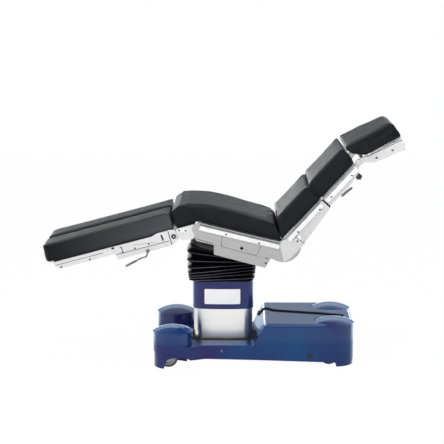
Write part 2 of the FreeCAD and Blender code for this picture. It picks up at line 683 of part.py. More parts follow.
def head_frame():
    """Head plate: side plates on the link pins, a cross tube and the pad board."""
    y_in = HEAD_PLATE_Y
    y_out = HEAD_PLATE_Y + PLATE_THICK
    side = side_profile([(44, 2, 4), (44, -30, 12), (84, -50, 10), (250, -55, 12), (268, -34, 8),
                         (262, 2, 6)], -y_out, -y_in)
    pin = disc(HEAD_PIVOT, NECK_PIN_R, -y_in - 1, -LINK_Y + 2)
    board = plan_profile([(82, -BOARD_HALF + 15, 4), (264, -HEAD_END_HALF + 15, 20),
                          (264, HEAD_END_HALF - 15, 20), (82, BOARD_HALF - 15, 4)], 1, HEAD_PAD_W[0] - 0.3)
    cross = [box((u, u + 18), (-y_in - 1, y_in + 1), (-22, 2)) for u in (96, 232)]
    bail_boss = disc(BAIL_PIVOT, 11.0, -y_in - 1, -BAIL_HALF - BAIL_R - 0.5)
    sides = [side, pin, bail_boss]
    return head_piece(fuse(sides + [mirrored(piece) for piece in sides] + [board] + cross))


def head_pad():
    """Head pad with a chamfered neck edge, tapering in plan to the far end."""
    low, top = HEAD_PAD_W
    u0, u1 = HEAD_PAD_U
    profile = side_profile([(u0, 57, 5), (u0, top - 2, 10), (u1 - 16, top, 18), (u1, low + 8, 10),
                            (u1 - 6, low, 4), (54, low, 10)], -PAD_HALF, PAD_HALF)
    end = HEAD_END_HALF
    plan = plan_profile([(u0 - 5, -PAD_HALF, 0), (HEAD_TAPER_U, -PAD_HALF, 60), (u1 + 1, -end, 40),
                         (u1 + 1, end, 40), (HEAD_TAPER_U, PAD_HALF, 60), (u0 - 5, PAD_HALF, 0)], 0, 120)
    return head_piece(profile.common(plan))


def head_bail():
    """Release bail below the head plate: two arms and a grip bar."""
    u, w = BAIL_PIVOT
    end = (u + BAIL_REACH, w - 14)
    arm = rod(BAIL_R, (u, -BAIL_HALF, w), (end[0], -BAIL_HALF, end[1]))
    eye = disc(BAIL_PIVOT, 9.0, -BAIL_HALF - BAIL_R, -BAIL_HALF + BAIL_R)
    grip = rod(BAIL_R, (end[0], -BAIL_HALF, end[1]), (end[0], BAIL_HALF, end[1]))
    corners = [Part.makeSphere(BAIL_R, V(end[0], y, end[1])) for y in (-BAIL_HALF, BAIL_HALF)]
    return head_piece(fuse([arm, mirrored(arm), eye, mirrored(eye), grip] + corners))


# Column

def column_ring(half_x, half_y, corner, z, bow=BOW):
    """Closed wire of the column's section: bowed front and back, flat rounded ends."""
    side = half_y - bow
    a = V(-half_x, -side + corner, z)
    b = V(-half_x + corner, -side - bow * 0.35, z)
    c = V(half_x - corner, -side - bow * 0.35, z)
    d = V(half_x, -side + corner, z)
    near = Part.Arc(b, V(0, -half_y, z), c).toShape()
    spread = corner * (1 - math.sqrt(0.5))
    left = Part.Arc(a, V(-half_x + spread, -side + spread, z), b).toShape()
    right = Part.Arc(c, V(half_x - spread, -side + spread, z), d).toShape()
    near_half = [left, near, right]
    far_half = [edge.mirror(V(0, 0, 0), V(0, 1, 0)) for edge in near_half]
    ends = [Part.LineSegment(p, V(p.x, -p.y, p.z)).toShape() for p in (a, d)]
    return Part.Wire(Part.__sortEdges__(near_half + far_half + ends))


def column_solid(inset, z0, z1):
    ring = column_ring(TOP_HALF[0] - inset, TOP_HALF[1] - inset, COLUMN_CORNER - inset, z0)
    return Part.Face(ring).extrude(V(0, 0, z1 - z0))


def column_tube(inset, z0, z1):
    return column_solid(inset, z0, z1).cut(column_solid(inset + SHELL_WALL, z0 - 1, z1 + 1))


def column_shell_lower():
    return column_tube(2 * STAGE_STEP, FRAME_Z[1], LOWER_TOP)


def column_shell_middle():
    """Steel stage with the bridge that ties it to the sleeve."""
    low, top = MIDDLE_Z
    bridge = column_solid(STAGE_STEP + 1, top - 10, top)
    bridge = cut(bridge, [rod(SLEEVE_R[1], (0, 0, 0), (0, 0, top + 1))])
    return fuse([column_tube(STAGE_STEP, low, top), bridge])


def column_shell_top():
    """Band cover of the top stage, with its collar under the bellows."""
    band = column_tube(0, BAND_Z[0], BAND_TOP)
    collar = column_solid(1.5, BAND_TOP - 1, BAND_Z[1]).cut(column_solid(SHELL_WALL, 0, 500))
    return fuse([band, collar])


def column_head():
    """Inner box of the top stage with its ceiling plate and the ears of the tilt axis."""
    ceiling = column_solid(SHELL_WALL + 0.3, CEILING, CEILING + HEAD_PLATE)
    wall = column_solid(SHELL_WALL + 0.3, BAND_TOP - 60, CEILING + 1).cut(
        column_solid(STAGE_STEP - 0.4, 0, CEILING))
    ears = []
    for side in (-1, 1):
        y0, y1 = sorted((side * EAR_Y, side * (EAR_Y + EAR_THICK)))
        ear = disc((0, TILT_Z), EAR_R, y0, y1)
        foot = side_profile([(-46, CEILING + 1, 0), (46, CEILING + 1, 0), (EAR_R, TILT_Z, 0),
                             (-EAR_R, TILT_Z, 0)], y0, y1)
        ears += [ear, foot]
    bores = [disc((0, TILT_Z), TILT_PIN_R + PIN_CLEAR, -EAR_Y - 40, EAR_Y + 40)]
    return cut(fuse([ceiling, wall] + ears), bores)


def lift_barrel():
    tube = rod(BARREL_R[1], (0, 0, FRAME_Z[1]), (0, 0, LOWER_TOP))
    foot = rod(BARREL_R[1] + 20, (0, 0, FRAME_Z[1]), (0, 0, FRAME_Z[1] + 10))
    return cut(fuse([tube, foot]), [rod(BARREL_R[0], (0, 0, 0), (0, 0, LOWER_TOP + 1))])


def lift_sleeve():
    low = FRAME_Z[1] + LIFT_DOWN / 2 + 7
    tube = rod(SLEEVE_R[1], (0, 0, low), (0, 0, MIDDLE_Z[1] - 3))
    return cut(tube, [rod(SLEEVE_R[0], (0, 0, 0), (0, 0, MIDDLE_Z[1]))])


def lift_rod():
    low = FRAME_Z[1] + LIFT_DOWN + 7
    return rod(ROD_R, (0, 0, low), (0, 0, CEILING))


def cardan_block():
    """Block that turns on the column's ears and holds the roll shaft."""
    rise = roll_place(0)[1] - TILT_Z
    hx, hy = BLOCK_HALF
    body = side_profile([(-hx, -BLOCK_BELOW, 10), (hx, -BLOCK_BELOW, 10), (hx, rise + 26, 14),
                         (-hx, rise + 26, 14)], -hy, hy)
    trunnions = disc((0, 0), TILT_PIN_R, -EAR_Y - EAR_THICK, EAR_Y + EAR_THICK)
    return posed(fuse([body, trunnions]), (0, TILT_Z), SEAT_SLOPE)


def roll_bore():
    """Bore of the roll shaft, in place."""
    bar = rod(ROLL_PIN_R + PIN_CLEAR, (0, 0, ROLL_W), (400, 0, ROLL_W))
    return seat_piece(bar)


def bellows_ring(grow, height, slope):
    """Section of the bellows on a plane through (0, height) with its own slope."""
    wire = column_ring(BELLOWS_HALF[0] + grow, BELLOWS_HALF[1] + grow, BELLOWS_CORNER, 0)
    wire.rotate(V(0, 0, 0), V(0, 1, 0), -slope)
    wire.translate(V(BELLOWS_SHIFT, 0, height))
    return wire


def bellows(levels, inset):
    """Stack of ruled folds through (height, slope) levels, alternately out and in."""
    rings = []
    for i, (height, slope) in enumerate(levels):
        fold = -BELLOWS_FOLD if i % 2 == 0 else 0
        rings.append(bellows_ring(fold - inset, height, slope))
    return Part.makeLoft(rings, True, True)


def bellows_part(z0, z1, slope0, slope1, folds):
    steps = 2 * folds
    levels = []
    for i in range(steps + 1):
        share = i / steps
        levels.append((z0 + (z1 - z0) * share, slope0 + (slope1 - slope0) * share))
    return bellows(levels, 0).cut(bellows(levels, BELLOWS_WALL))


def bellows_lower():
    return bellows_part(BAND_Z[1], BELLOWS_MID, 0, SEAT_SLOPE, 3)


def bellows_upper():
    top = roll_place(BELLOWS_SHIFT, BELLOWS_TOP_W)[1]
    return bellows_part(BELLOWS_MID + 0.3, top, SEAT_SLOPE, SEAT_SLOPE, 2)


# Base

def base_plan(inset, z0, z1):
    """Low body of the base with the necks that run out to the foot pods."""
    y = BASE_HALF - inset
    px, py = FOOT_POD
    reach = py + POD_R - 6 - inset
    half = [(px, -reach, 0), (px + 74, -reach + 6, 40), (px + 171, -y, 70), (CREST[0] + 60, -y, 0)]
    inner = [(px, py - 96 + inset, 0), (px + 62 + inset, py - 120 + inset, 40)]
    far = [(x, -yy, r) for x, yy, r in reversed(half)]
    near_inner = [(x, -yy, r) for x, yy, r in reversed(inner)]
    body = plan_profile(half + far + inner + near_inner, z0, z1)
    if inset:
        return body
    rims = [edge for edge in body.Edges
            if abs(edge.CenterOfMass.z - z1) < 1e-6 and px + 80 < edge.CenterOfMass.x < CREST[0]
            and abs(edge.CenterOfMass.y) > py]
    return body.makeFillet(SKIRT_EDGE_R, rims)


def raised_body(inset, z0):
    """High body of the head end, sloping up from the column."""
    y = BASE_HALF - inset
    foot = CREST[0] + inset
    end = BASE_END_X - inset
    profile = side_profile([(foot, z0, 0), (end, z0, 0), (end, CREST_Z - 2 - inset, CREST_R),
                            (CREST[1] + inset / 2, CREST_Z - inset, 30), (foot, DECK_Z - inset, 0)], -y, y)
    plan = plan_profile([(foot - 1, -y, 0), (end, -y, POD_R - inset), (end, y, POD_R - inset),
                         (foot - 1, y, 0)], z0 - 1, CREST_Z + 1)
    px, py = HEAD_POD
    seats = [Part.makeCylinder(POD_R + CAP_OVER + 1 + inset, CREST_Z,
                               V(px, side * py, HEAD_CAP_Z[0] - 0.3 - inset)) for side in (-1, 1)]
    return cut(profile.common(plan).common(end_profile(inset, z0, foot)), seats)


def end_profile(inset, z0, foot):
    """Rounded shoulders of the high body, seen from the head end."""
    y = BASE_HALF - inset
    top = CREST_Z - inset
    wire = rounded_wire([(V(foot - 1, -y, z0), 0), (V(foot - 1, -y, top), CREST_R - inset),
                         (V(foot - 1, y, top), CREST_R - inset), (V(foot - 1, y, z0), 0)])
    return Part.Face(wire).extrude(V(BASE_END_X, 0, 0))


def foot_pod(inset, z0, z1):
    px, py = FOOT_POD
    step = POD_STEP_Z + inset
    upper = Part.makeCylinder(POD_R - inset, z1 - step, V(px, -py, step))
    lower = Part.makeCylinder(POD_R - 4 - inset, step - z0 + 1, V(px, -py, z0))
    return [upper, lower]


def head_pod(inset, z0, z1):
    px, py = HEAD_POD
    return [Part.makeCylinder(POD_R - 2 - inset, z1 - z0, V(px, -py, z0))]


def base_solid(inset, z0):
    """The whole blue body, or its inside when inset."""
    pods = foot_pod(inset, z0, FOOT_CAP_Z[0] - inset) + head_pod(inset, z0, HEAD_CAP_Z[0] - 0.3 - inset)
    pods += [mirrored(pod) for pod in pods]
    low = SKIRT_LINE[-1][1] - inset
    body = fuse([base_plan(inset, low, DECK_Z - inset), raised_body(inset, low)])
    return fuse([body.cut(below_skirt(inset))] + pods)


def below_skirt(inset):
    """Room under the skirt's lower edge, which drops towards the head end."""
    line = [(x, z - inset, 0) for x, z in SKIRT_LINE]
    start, end = FOOT_POD[0] - 2 * POD_R, BASE_END_X + POD_R
    return side_profile([(start, -POD_R, 0), (start, line[0][1], 0)] + line
                        + [(end, line[-1][1], 0), (end, -POD_R, 0)], -2 * BASE_HALF, 2 * BASE_HALF)


def groove():
    """Shallow channel that runs over the high body and down its slope."""
    sides = ([], [])
    for i, (x, y) in enumerate(GROOVE):
        before, after = GROOVE[max(i - 1, 0)], GROOVE[min(i + 1, len(GROOVE) - 1)]
        dx, dy = after[0] - before[0], after[1] - before[1]
        half = GROOVE_WIDE / 2 / math.hypot(dx, dy)
        across = (-dy * half, dx * half)
        radius = 14 if 0 < i < len(GROOVE) - 1 else 0
        sides[0].append((x + across[0], y + across[1], radius))
        sides[1].append((x - across[0], y - across[1], radius))
    strip = plan_profile(sides[0] + sides[1][::-1], DECK_Z + 20, CREST_Z + 5)
    return strip.cut(raised_body(GROOVE_DEEP, SKIRT_LINE[-1][1]))


def wheel_arch():
    """Opening in the near side of the foot pod's skirt that shows the wheel."""
    px, py = FOOT_POD
    near = side_profile([(px - 52, -5, 0), (px - 28, 60, 10), (px, 69, 14), (px + 64, 70, 14),
                         (px + 98, 52, 6), (px + 98, -5, 0)], -py - POD_R - 10, -py - 20)
    end = box((px + 50, px + POD_R + 4), (-py - POD_R, -py + 70), (-5, SKIRT_LINE[0][1]))
    return near.fuse(end)


def head_arch():
    px, py = HEAD_POD
    top = SKIRT_LINE[-1][1]
    return side_profile([(px - 130, -5, 0), (px - 118, top, 8), (px + 4, top - 1, 8),
                         (px + 14, -5, 0)], -py - POD_R - 10, -py + 10)


def base_cover():
    """Blue moulded cover: a shell open below, with the column well and wheel openings."""
    shell = base_solid(0, POD_LOW).cut(base_solid(WALL, POD_LOW - 5))
    well = column_solid(STAGE_STEP - WELL_GAP, POD_LOW, CREST_Z + 20)
    x, z = SOCKET_AT
    socket = rod(SOCKET_R + 0.1, (x, -BASE_HALF - 10, z), (x, -BASE_HALF + 10, z))
    arches = [wheel_arch(), head_arch()]
    arches += [mirrored(arch) for arch in arches]
    return cut(shell, [well, socket, groove()] + arches)


def pod_cap(at, z, side):
    """Domed cap over a caster housing, with a rounded rim."""
    px, py = at
    low, top = z
    radius = POD_R + CAP_OVER
    rim = 5.0
    rise = top - low - rim
    sphere = (radius * radius + rise * rise) / (2 * rise)
    half_way = radius / 2
    on_dome = top - sphere + math.sqrt(sphere * sphere - half_way * half_way)
    spread = rim * (1 - math.sqrt(0.5))
    wire = Part.Wire([Part.LineSegment(V(0, 0, low), V(radius - rim, 0, low)).toShape(),
                      Part.Arc(V(radius - rim, 0, low), V(radius - spread, 0, low + spread),
                               V(radius, 0, low + rim)).toShape(),
                      Part.Arc(V(radius, 0, low + rim), V(half_way, 0, on_dome), V(0, 0, top)).toShape(),
                      Part.LineSegment(V(0, 0, top), V(0, 0, low)).toShape()])
    cap = Part.Face(wire).revolve(V(0, 0, 0), V(0, 0, 1), 360)
    cap.translate(V(px, side * py, 0))
    return cap


def base_frame():
    """Cast chassis: top plate, long beams, arms to the casters and guides of the lock feet."""
    low, top = FRAME_Z
    plate = plan_profile([(-150, -150, 20), (520, -150, 20), (520, 150, 20), (-150, 150, 20)], low, top)
    beams = [box((-140, HEAD_POD[0] - 93), (y0, y1), (BEAM_LOW, low + 1))
             for y0, y1 in (BEAM_Y, (-BEAM_Y[1], -BEAM_Y[0]))]
    arms = []
    for px, py in (FOOT_POD, HEAD_POD):
        inner = px + 150 if px < 0 else px - 110
        for side in (-1, 1):
            arms.append(plan_profile([(inner, side * 90, 0), (inner, side * 140, 0),
                                      (px, side * (py + 34), 20), (px - 30, side * (py - 20), 20),
                                      (px, side * (py - 40), 20)], low, top))
            arms.append(Part.makeCylinder(34.0, top - low, V(px, side * py, low)))
    guides = [Part.makeCylinder(GUIDE_R, low - BEAM_LOW + 1, V(x, side * y, BEAM_LOW))
              for x, y in FOOT_AT for side in (-1, 1)]
    webs = [box((x - 6, x + 6), sorted((side * (y + 10), side * (BEAM_Y[0] + 2))), (BEAM_LOW, low + 1))
            for x, y in FOOT_AT for side in (-1, 1)]
    holes = [Part.makeCylinder(STEM_R + PIN_CLEAR, 100, V(px, side * py, low - 50))
             for px, py in (FOOT_POD, HEAD_POD) for side in (-1, 1)]
    holes += [Part.makeCylinder(FOOT_STEM_R + PIN_CLEAR, 2 * top, V(x, side * y, 0))
              for x, y in FOOT_AT for side in (-1, 1)]
    return cut(fuse([plate] + beams + arms + guides + webs), holes)


def power_pack():
    """Two batteries and the control box on the chassis plate."""
    deck = FRAME_Z[1]
    x0, x1 = CELL_X
    cell = box(CELL_X, (-140, -20), (deck, deck + 92))
    lids = box(CELL_X, (-140, -20), (deck + 92, deck + 100))
    posts = [rod(6.0, (x, -80, deck + 99), (x, -80, deck + 108)) for x in (x0 + 22, x1 - 22)]
    battery = fuse([cell, lids] + posts)
    case = box((440, 505), (75, 142), (deck, deck + 70))
    edges = [edge for edge in case.Edges if abs(edge.CenterOfMass.z - deck - 35) < 1e-6]
    return Part.makeCompound([battery, mirrored(battery), case.makeFillet(6.0, edges)])


def pump_unit():
    tank = box((440, 505), (-140, -10), (FRAME_Z[1], FRAME_Z[1] + 80))
    motor = rod(32.0, (472, -10, FRAME_Z[1] + 42), (472, 60, FRAME_Z[1] + 42))
    foot = box((452, 492), (-11, 58), (FRAME_Z[1], FRAME_Z[1] + 20))
    return fuse([tank, motor, foot])


def power_socket():
    """Round inlet in the near side of the base."""
    x, z = SOCKET_AT
    face = -BASE_HALF - SOCKET_PROUD
    ring = rod(SOCKET_R, (x, face, z), (x, face + 10, z))
    return cut(ring, [rod(SOCKET_BORE_R, (x, face - 1, z), (x, face + SOCKET_DEPTH, z))])


# Casters and feet

def caster_centre(at, side):
    return at[0] - TRAIL, side * at[1]


def caster_fork(at, side):
    """Swivel fork: crown, two cheeks, axle and stem."""
    x, y = caster_centre(at, side)
    crown_top = FRAME_Z[0] - 1
    cheek_in = WHEEL_HALF + 2
    cheeks = []
    for s in (-1, 1):
        y0, y1 = sorted((y + s * cheek_in, y + s * (cheek_in + FORK_THICK)))
        cheeks.append(side_profile([(x - 13, WHEEL_R - 13, 12), (x + 13, WHEEL_R - 13, 12),
                                    (at[0] + 22, crown_top - 3, 4), (x - 20, crown_top - 3, 10)], y0, y1))
    reach = cheek_in + FORK_THICK
    crown = box((x - 18, at[0] + 22), (y - reach, y + reach), (crown_top - 5, crown_top))
    axle = disc((x, WHEEL_R), AXLE_R, y - reach - 2, y + reach + 2)
    stem = rod(STEM_R, (at[0], y, crown_top - 1), (at[0], y, FRAME_Z[1] + 12))
    race = rod(20.0, (at[0], y, crown_top - 1), (at[0], y, FRAME_Z[0] - 0.3))
    return fuse([crown, axle, stem, race] + cheeks)


def caster_hub(at, side):
    x, y = caster_centre(at, side)
    rim = WHEEL_R - TREAD
    outer = disc((x, WHEEL_R), rim, y - WHEEL_HALF + 1, y + WHEEL_HALF - 1)
    boss = disc((x, WHEEL_R), 13.0, y - WHEEL_HALF - 1, y + WHEEL_HALF + 1)
    dishes = [disc((x, WHEEL_R), rim - 6, y + a, y + b) for a, b in ((-WHEEL_HALF, -4), (4, WHEEL_HALF))]
    hub = fuse([cut(outer, dishes), boss])
    return cut(hub, [disc((x, WHEEL_R), AXLE_R + PIN_CLEAR, y - WHEEL_HALF - 5, y + WHEEL_HALF + 5)])


def caster_tyre(at, side):
    x, y = caster_centre(at, side)
    rim = WHEEL_R - TREAD
    profile = [(rim, -WHEEL_HALF + 1), (WHEEL_R - 5, -WHEEL_HALF), (WHEEL_R, -WHEEL_HALF + 5),
               (WHEEL_R, WHEEL_HALF - 5), (WHEEL_R - 5, WHEEL_HALF), (rim, WHEEL_HALF - 1)]
    wire = Part.makePolygon([V(r, d, 0) for r, d in profile + profile[:1]])
    tyre = Part.Face(wire).revolve(V(0, 0, 0), V(0, 1, 0), 360)
    tyre.translate(V(x, y, WHEEL_R))
    return tyre


def floor_lock_feet():
    """Four rubber-soled feet on rods that the lock drive pushes to the floor."""
    feet = []
    for x, y in FOOT_AT:
        for side in (-1, 1):
            pad = Part.makeCone(FOOT_R, FOOT_R - 6, FOOT_HIGH, V(x, side * y, 0))
            stem = rod(FOOT_STEM_R, (x, side * y, FOOT_HIGH - 1), (x, side * y, FRAME_Z[1] - 1))
            feet.append(fuse([pad, stem]))
    return Part.makeCompound(feet)


PIECES = {
    "base_frame": base_frame(),
    "base_cover": base_cover(),
    "column_shell_lower": column_shell_lower(),
    "lift_barrel": lift_barrel(),
    "power_pack": power_pack(),
    "pump_unit": pump_unit(),
    "power_socket": power_socket(),
    "floor_lock_feet": floor_lock_feet(),
    "column_shell_middle": column_shell_middle(),
    "lift_sleeve": lift_sleeve(),
    "column_shell_top": column_shell_top(),
    "column_head": column_head(),
    "lift_rod": lift_rod(),
    "cardan_block": cardan_block().cut(roll_bore()),
    "bellows_lower": bellows_lower(),
    "bellows_upper": bellows_upper(),
    "seat_side_plates": seat_side_plates(),
    "seat_rails": seat_rails(),
    "seat_frame": seat_frame(),
    "seat_lower_cover": seat_lower_cover(),
    "seat_board": seat_board(),
    "seat_pad": seat_pad(),
    "drive_motors": drive_motors(),
    "bellows_collar": bellows_collar(),
    "leg_bracket": leg_bracket(),
    "seat_pad_front": seat_pad_front(),
    "leg_frame_left": leg_frame(),
    "leg_frame_right": mirrored(leg_frame()),
    "leg_pad_left": leg_pad(),
    "leg_pad_right": mirrored(leg_pad()),
    "leg_lever_left": leg_lever(),
    "leg_lever_right": mirrored(leg_lever()),
    "back_frame_lower": back_frame_lower(),
    "back_pad_lower": back_pad_lower(),
    "back_frame_upper": back_frame_upper(),
    "back_pad_upper": back_pad_upper(),
    "back_rails": back_rails(),
    "back_lock_lever": back_lock_lever(),
    "neck_knob_left": neck_knob(-1),
    "neck_knob_right": neck_knob(1),
    "neck_link": neck_link(),
    "head_frame": head_frame(),
    "head_pad": head_pad(),
    "head_bail": head_bail(),
}

for end, at, cap_z in (("foot", FOOT_POD, FOOT_CAP_Z), ("head", HEAD_POD, HEAD_CAP_Z)):
    for side, hand in ((-1, "left"), (1, "right")):
        corner = end + "_" + hand
        PIECES["pod_cap_" + corner] = pod_cap(at, cap_z, side)
        PIECES["caster_fork_" + corner] = caster_fork(at, side)
        PIECES["caster_hub_" + corner] = caster_hub(at, side)
        PIECES["caster_tyre_" + corner] = caster_tyre(at, side)

os.makedirs("parts", exist_ok=True)
for name, shape in PIECES.items():
    shape.exportStep("parts/" + name + ".step")
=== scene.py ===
import json
import math

import bmesh
import bpy
import numpy as np
from mathutils import Matrix, Vector
from mathutils.bvhtree import BVHTree


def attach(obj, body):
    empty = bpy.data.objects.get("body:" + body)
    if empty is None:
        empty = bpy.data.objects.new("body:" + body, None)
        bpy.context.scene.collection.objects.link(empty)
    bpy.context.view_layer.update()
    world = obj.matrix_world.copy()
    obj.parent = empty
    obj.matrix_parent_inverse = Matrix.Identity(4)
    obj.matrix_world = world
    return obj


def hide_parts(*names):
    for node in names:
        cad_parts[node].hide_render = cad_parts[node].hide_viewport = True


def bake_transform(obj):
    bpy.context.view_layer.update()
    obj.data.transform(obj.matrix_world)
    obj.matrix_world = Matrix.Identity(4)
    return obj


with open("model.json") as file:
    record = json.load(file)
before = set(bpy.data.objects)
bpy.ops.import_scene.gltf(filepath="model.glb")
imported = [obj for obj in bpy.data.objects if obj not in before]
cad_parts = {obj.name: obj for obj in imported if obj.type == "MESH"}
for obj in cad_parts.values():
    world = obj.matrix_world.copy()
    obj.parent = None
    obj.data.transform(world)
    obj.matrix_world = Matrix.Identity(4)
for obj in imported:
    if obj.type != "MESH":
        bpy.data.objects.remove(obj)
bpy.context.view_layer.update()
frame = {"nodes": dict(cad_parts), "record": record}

MM = 0.001


def section(x, z, slope):
    """Turns a section's own length, width and height into the table's place."""
    return Matrix.Translation((x, 0, z)) @ Matrix.Rotation(-math.radians(slope), 4, "Y")


LEG_SLOPE, SEAT_SLOPE, BACK_SLOPE, HEAD_SLOPE = 14.9, -13.5, 47.5, 26.0
LEG = section(-0.118, 0.780, LEG_SLOPE)
SEAT = section(-0.118, 0.780, SEAT_SLOPE)
BACK = section(0.318368, 0.668244, BACK_SLOPE)
HEAD = section(0.699, 1.101, HEAD_SLOPE)
LEVEL = Matrix.Identity(4)
SEAT_UP = Vector((-math.sin(math.radians(SEAT_SLOPE)), 0, math.cos(math.radians(SEAT_SLOPE))))

# Outer faces, in millimetres from the middle of the table
PAD_SIDE = 268.0
LEG_PAD_GAP = 23.0
PLATE_FACE = 278.0
RAIL_FACE = 295.0
LOWER_COVER_FACE = 271.7
BRACKET_FACE = 273.0
COUPLING_FACE = 284.0
ELBOW_FACE = 282.2
HEAD_FACE = 227.0
BASE_FACE = 284.0


# Shader nodes

def grey(value):
    return (value, value, value)


def axis_of(tree, socket, axis):
    split = tree.nodes.new("ShaderNodeSeparateXYZ")
    tree.links.new(socket, split.inputs[0])
    return split.outputs[axis]


def mapped(tree, socket, low, high, start, end):
    """Takes a value from one range over to another."""
    span = tree.nodes.new("ShaderNodeMapRange")
    for key, value in (("From Min", low), ("From Max", high), ("To Min", start), ("To Max", end)):
        span.inputs[key].default_value = value
    tree.links.new(socket, span.inputs["Value"])
    return span.outputs["Result"]


def product(tree, first, second):
    both = tree.nodes.new("ShaderNodeMath")
    both.operation = "MULTIPLY"
    tree.links.new(first, both.inputs[0])
    tree.links.new(second, both.inputs[1])
    return both.outputs[0]


def colour_ramp(tree, socket, stops):
    """Runs a value through colours given as pairs of place and tone."""
    ramp = tree.nodes.new("ShaderNodeValToRGB")
    marks = ramp.color_ramp.elements
    for mark, (at, tone) in zip(marks, (stops[0], stops[-1])):
        mark.position = at
        mark.color = (*tone, 1)
    for at, tone in stops[1:-1]:
        marks.new(at).color = (*tone, 1)
    tree.links.new(socket, ramp.inputs["Fac"])
    return ramp.outputs["Color"]


def mixed_shaders(tree, share, first, second):
    """Goes from the first shader to the second as the share grows."""
    mixed = tree.nodes.new("ShaderNodeMixShader")
    for socket, key in ((share, "Fac"), (first, 1), (second, 2)):
        tree.links.new(socket, mixed.inputs[key])
    return mixed.outputs[0]


# Finishes

def finish(name, tone, metallic=0.0, rough=0.4, specular=0.5):
    mat = bpy.data.materials.new(name)
    mat.use_nodes = True
    shader = mat.node_tree.nodes["Principled BSDF"]
    shader.inputs["Base Color"].default_value = (*tone, 1)
    shader.inputs["Metallic"].default_value = metallic
    shader.inputs["Roughness"].default_value = rough
    shader.inputs["Specular IOR Level"].default_value = specular
    return mat


def surface_pattern(mat, scale, stretch=(1, 1, 1), slope=0.0, detail=3.0):
    """Noise on the piece's own coordinates, turned to lie along its section."""
    nodes, links = mat.node_tree.nodes, mat.node_tree.links
    place = nodes.new("ShaderNodeTexCoord")
    turn = nodes.new("ShaderNodeMapping")
    turn.inputs["Rotation"].default_value = (0, math.radians(slope), 0)
    spread = nodes.new("ShaderNodeMapping")
    spread.inputs["Scale"].default_value = stretch
    noise = nodes.new("ShaderNodeTexNoise")
    noise.inputs["Scale"].default_value = scale
    noise.inputs["Detail"].default_value = detail
    links.new(place.outputs["Object"], turn.inputs["Vector"])
    links.new(turn.outputs["Vector"], spread.inputs["Vector"])
    links.new(spread.outputs["Vector"], noise.inputs["Vector"])
    return noise.outputs["Fac"]


def tint(mat, pattern, dark, light, low=0.35, high=0.65, between=()):
    tree = mat.node_tree
    shades = colour_ramp(tree, pattern, ((low, dark), *between, (high, light)))
    tree.links.new(shades, tree.nodes["Principled BSDF"].inputs["Base Color"])


def polish(mat, pattern, low, high):
    tree = mat.node_tree
    rough = mapped(tree, pattern, 0.3, 0.7, low, high)
    tree.links.new(rough, tree.nodes["Principled BSDF"].inputs["Roughness"])


def relief(mat, pattern, strength, depth):
    nodes, links = mat.node_tree.nodes, mat.node_tree.links
    bump = nodes.new("ShaderNodeBump")
    bump.inputs["Strength"].default_value = strength
    bump.inputs["Distance"].default_value = depth
    links.new(pattern, bump.inputs["Height"])
    links.new(bump.outputs["Normal"], nodes["Principled BSDF"].inputs["Normal"])


def pad_cover(name, dark, light, rough):
    mat = finish(name, light, rough=rough[0], specular=0.10)
    tint(mat, surface_pattern(mat, 6.0, detail=5.0), dark, light)
    polish(mat, surface_pattern(mat, 22.0), *rough)
    relief(mat, surface_pattern(mat, 1500.0, detail=2.0), 0.12, 0.0003)
    return mat


def leg_cover():
    """The pads' cover, with a painted sheen on its sides that grows towards the seat."""
    mat = pad_cover("leg_pad_cover", (0.005, 0.006, 0.008), (0.008, 0.010, 0.012), (0.30, 0.38))
    tree = mat.node_tree
    base = tree.nodes["Principled BSDF"].inputs["Base Color"]
    place = tree.nodes.new("ShaderNodeTexCoord").outputs["Object"]
    normal = tree.nodes.new("ShaderNodeNewGeometry").outputs["Normal"]
    near_seat = mapped(tree, axis_of(tree, place, "X"), -0.88, -0.26, 0.0, 1.0)
    upright = mapped(tree, axis_of(tree, normal, "Z"), 0.35, 0.75, 1.0, 0.0)
    # Painted sheen: the sides take a lighter colour towards the seat.
    mixed = tree.nodes.new("ShaderNodeMix")
    mixed.data_type = "RGBA"
    tree.links.new(product(tree, near_seat, upright), mixed.inputs["Factor"])
    tree.links.new(base.links[0].from_socket, mixed.inputs["A"])
    mixed.inputs["B"].default_value = (0.066, 0.070, 0.078, 1)
    tree.links.new(mixed.outputs["Result"], base)
    return mat


def brushed_steel(name, dark, light, rough, slope=0.0, along=(3, 3, 150), metallic=1.0):
    mat = finish(name, light, metallic=metallic, rough=rough[0])
    grain = surface_pattern(mat, 2.5, along, slope, 3.0)
    tint(mat, grain, dark, light)
    polish(mat, grain, *rough)
    return mat


def blue_paint(name):
    """Gloss paint from violet over blue to teal, partly painted highlight in the teal, with a pale
    sheen at a low angle of view.
    """
    mat = finish(name, (0.014, 0.03, 0.17), rough=0.38, specular=0.12)
    tree = mat.node_tree
    violet, blue, teal = (0.020, 0.015, 0.105), (0.012, 0.027, 0.125), (0.004, 0.050, 0.165)
    # The random shift is partly painted highlight: the teal stands in for highlights on the paint.
    tint(mat, surface_pattern(mat, 3.6, detail=1.0), violet, teal, 0.36, 0.74, [(0.50, blue)])
    polish(mat, surface_pattern(mat, 60.0), 0.28, 0.38)
    relief(mat, surface_pattern(mat, 700.0, detail=1.0), 0.04, 0.0003)
    gloss = tree.nodes.new("ShaderNodeBsdfGlossy")
    gloss.inputs["Color"].default_value = (0.70, 0.90, 1.25, 1)
    gloss.inputs["Roughness"].default_value = 0.10
    angle = tree.nodes.new("ShaderNodeLayerWeight")
    angle.inputs["Blend"].default_value = 0.5
    sheen = ((0.0, 0.025), (0.5, 0.06), (0.78, 0.55), (0.85, 1.0), (0.90, 0.20), (1.0, 0.22))
    share = colour_ramp(tree, angle.outputs["Facing"], [(at, grey(part)) for at, part in sheen])
    height = axis_of(tree, tree.nodes.new("ShaderNodeTexCoord").outputs["Object"], "Z")
    # Painted shade: the sheen is cut on the low deck, so it stays darker than the raised bodies.
    above_deck = mapped(tree, height, 0.125, 0.160, 0.4, 1.0)
    both = mixed_shaders(tree, product(tree, share, above_deck),
                         tree.nodes["Principled BSDF"].outputs[0], gloss.outputs[0])
    tree.links.new(both, tree.nodes["Material Output"].inputs["Surface"])
    return mat


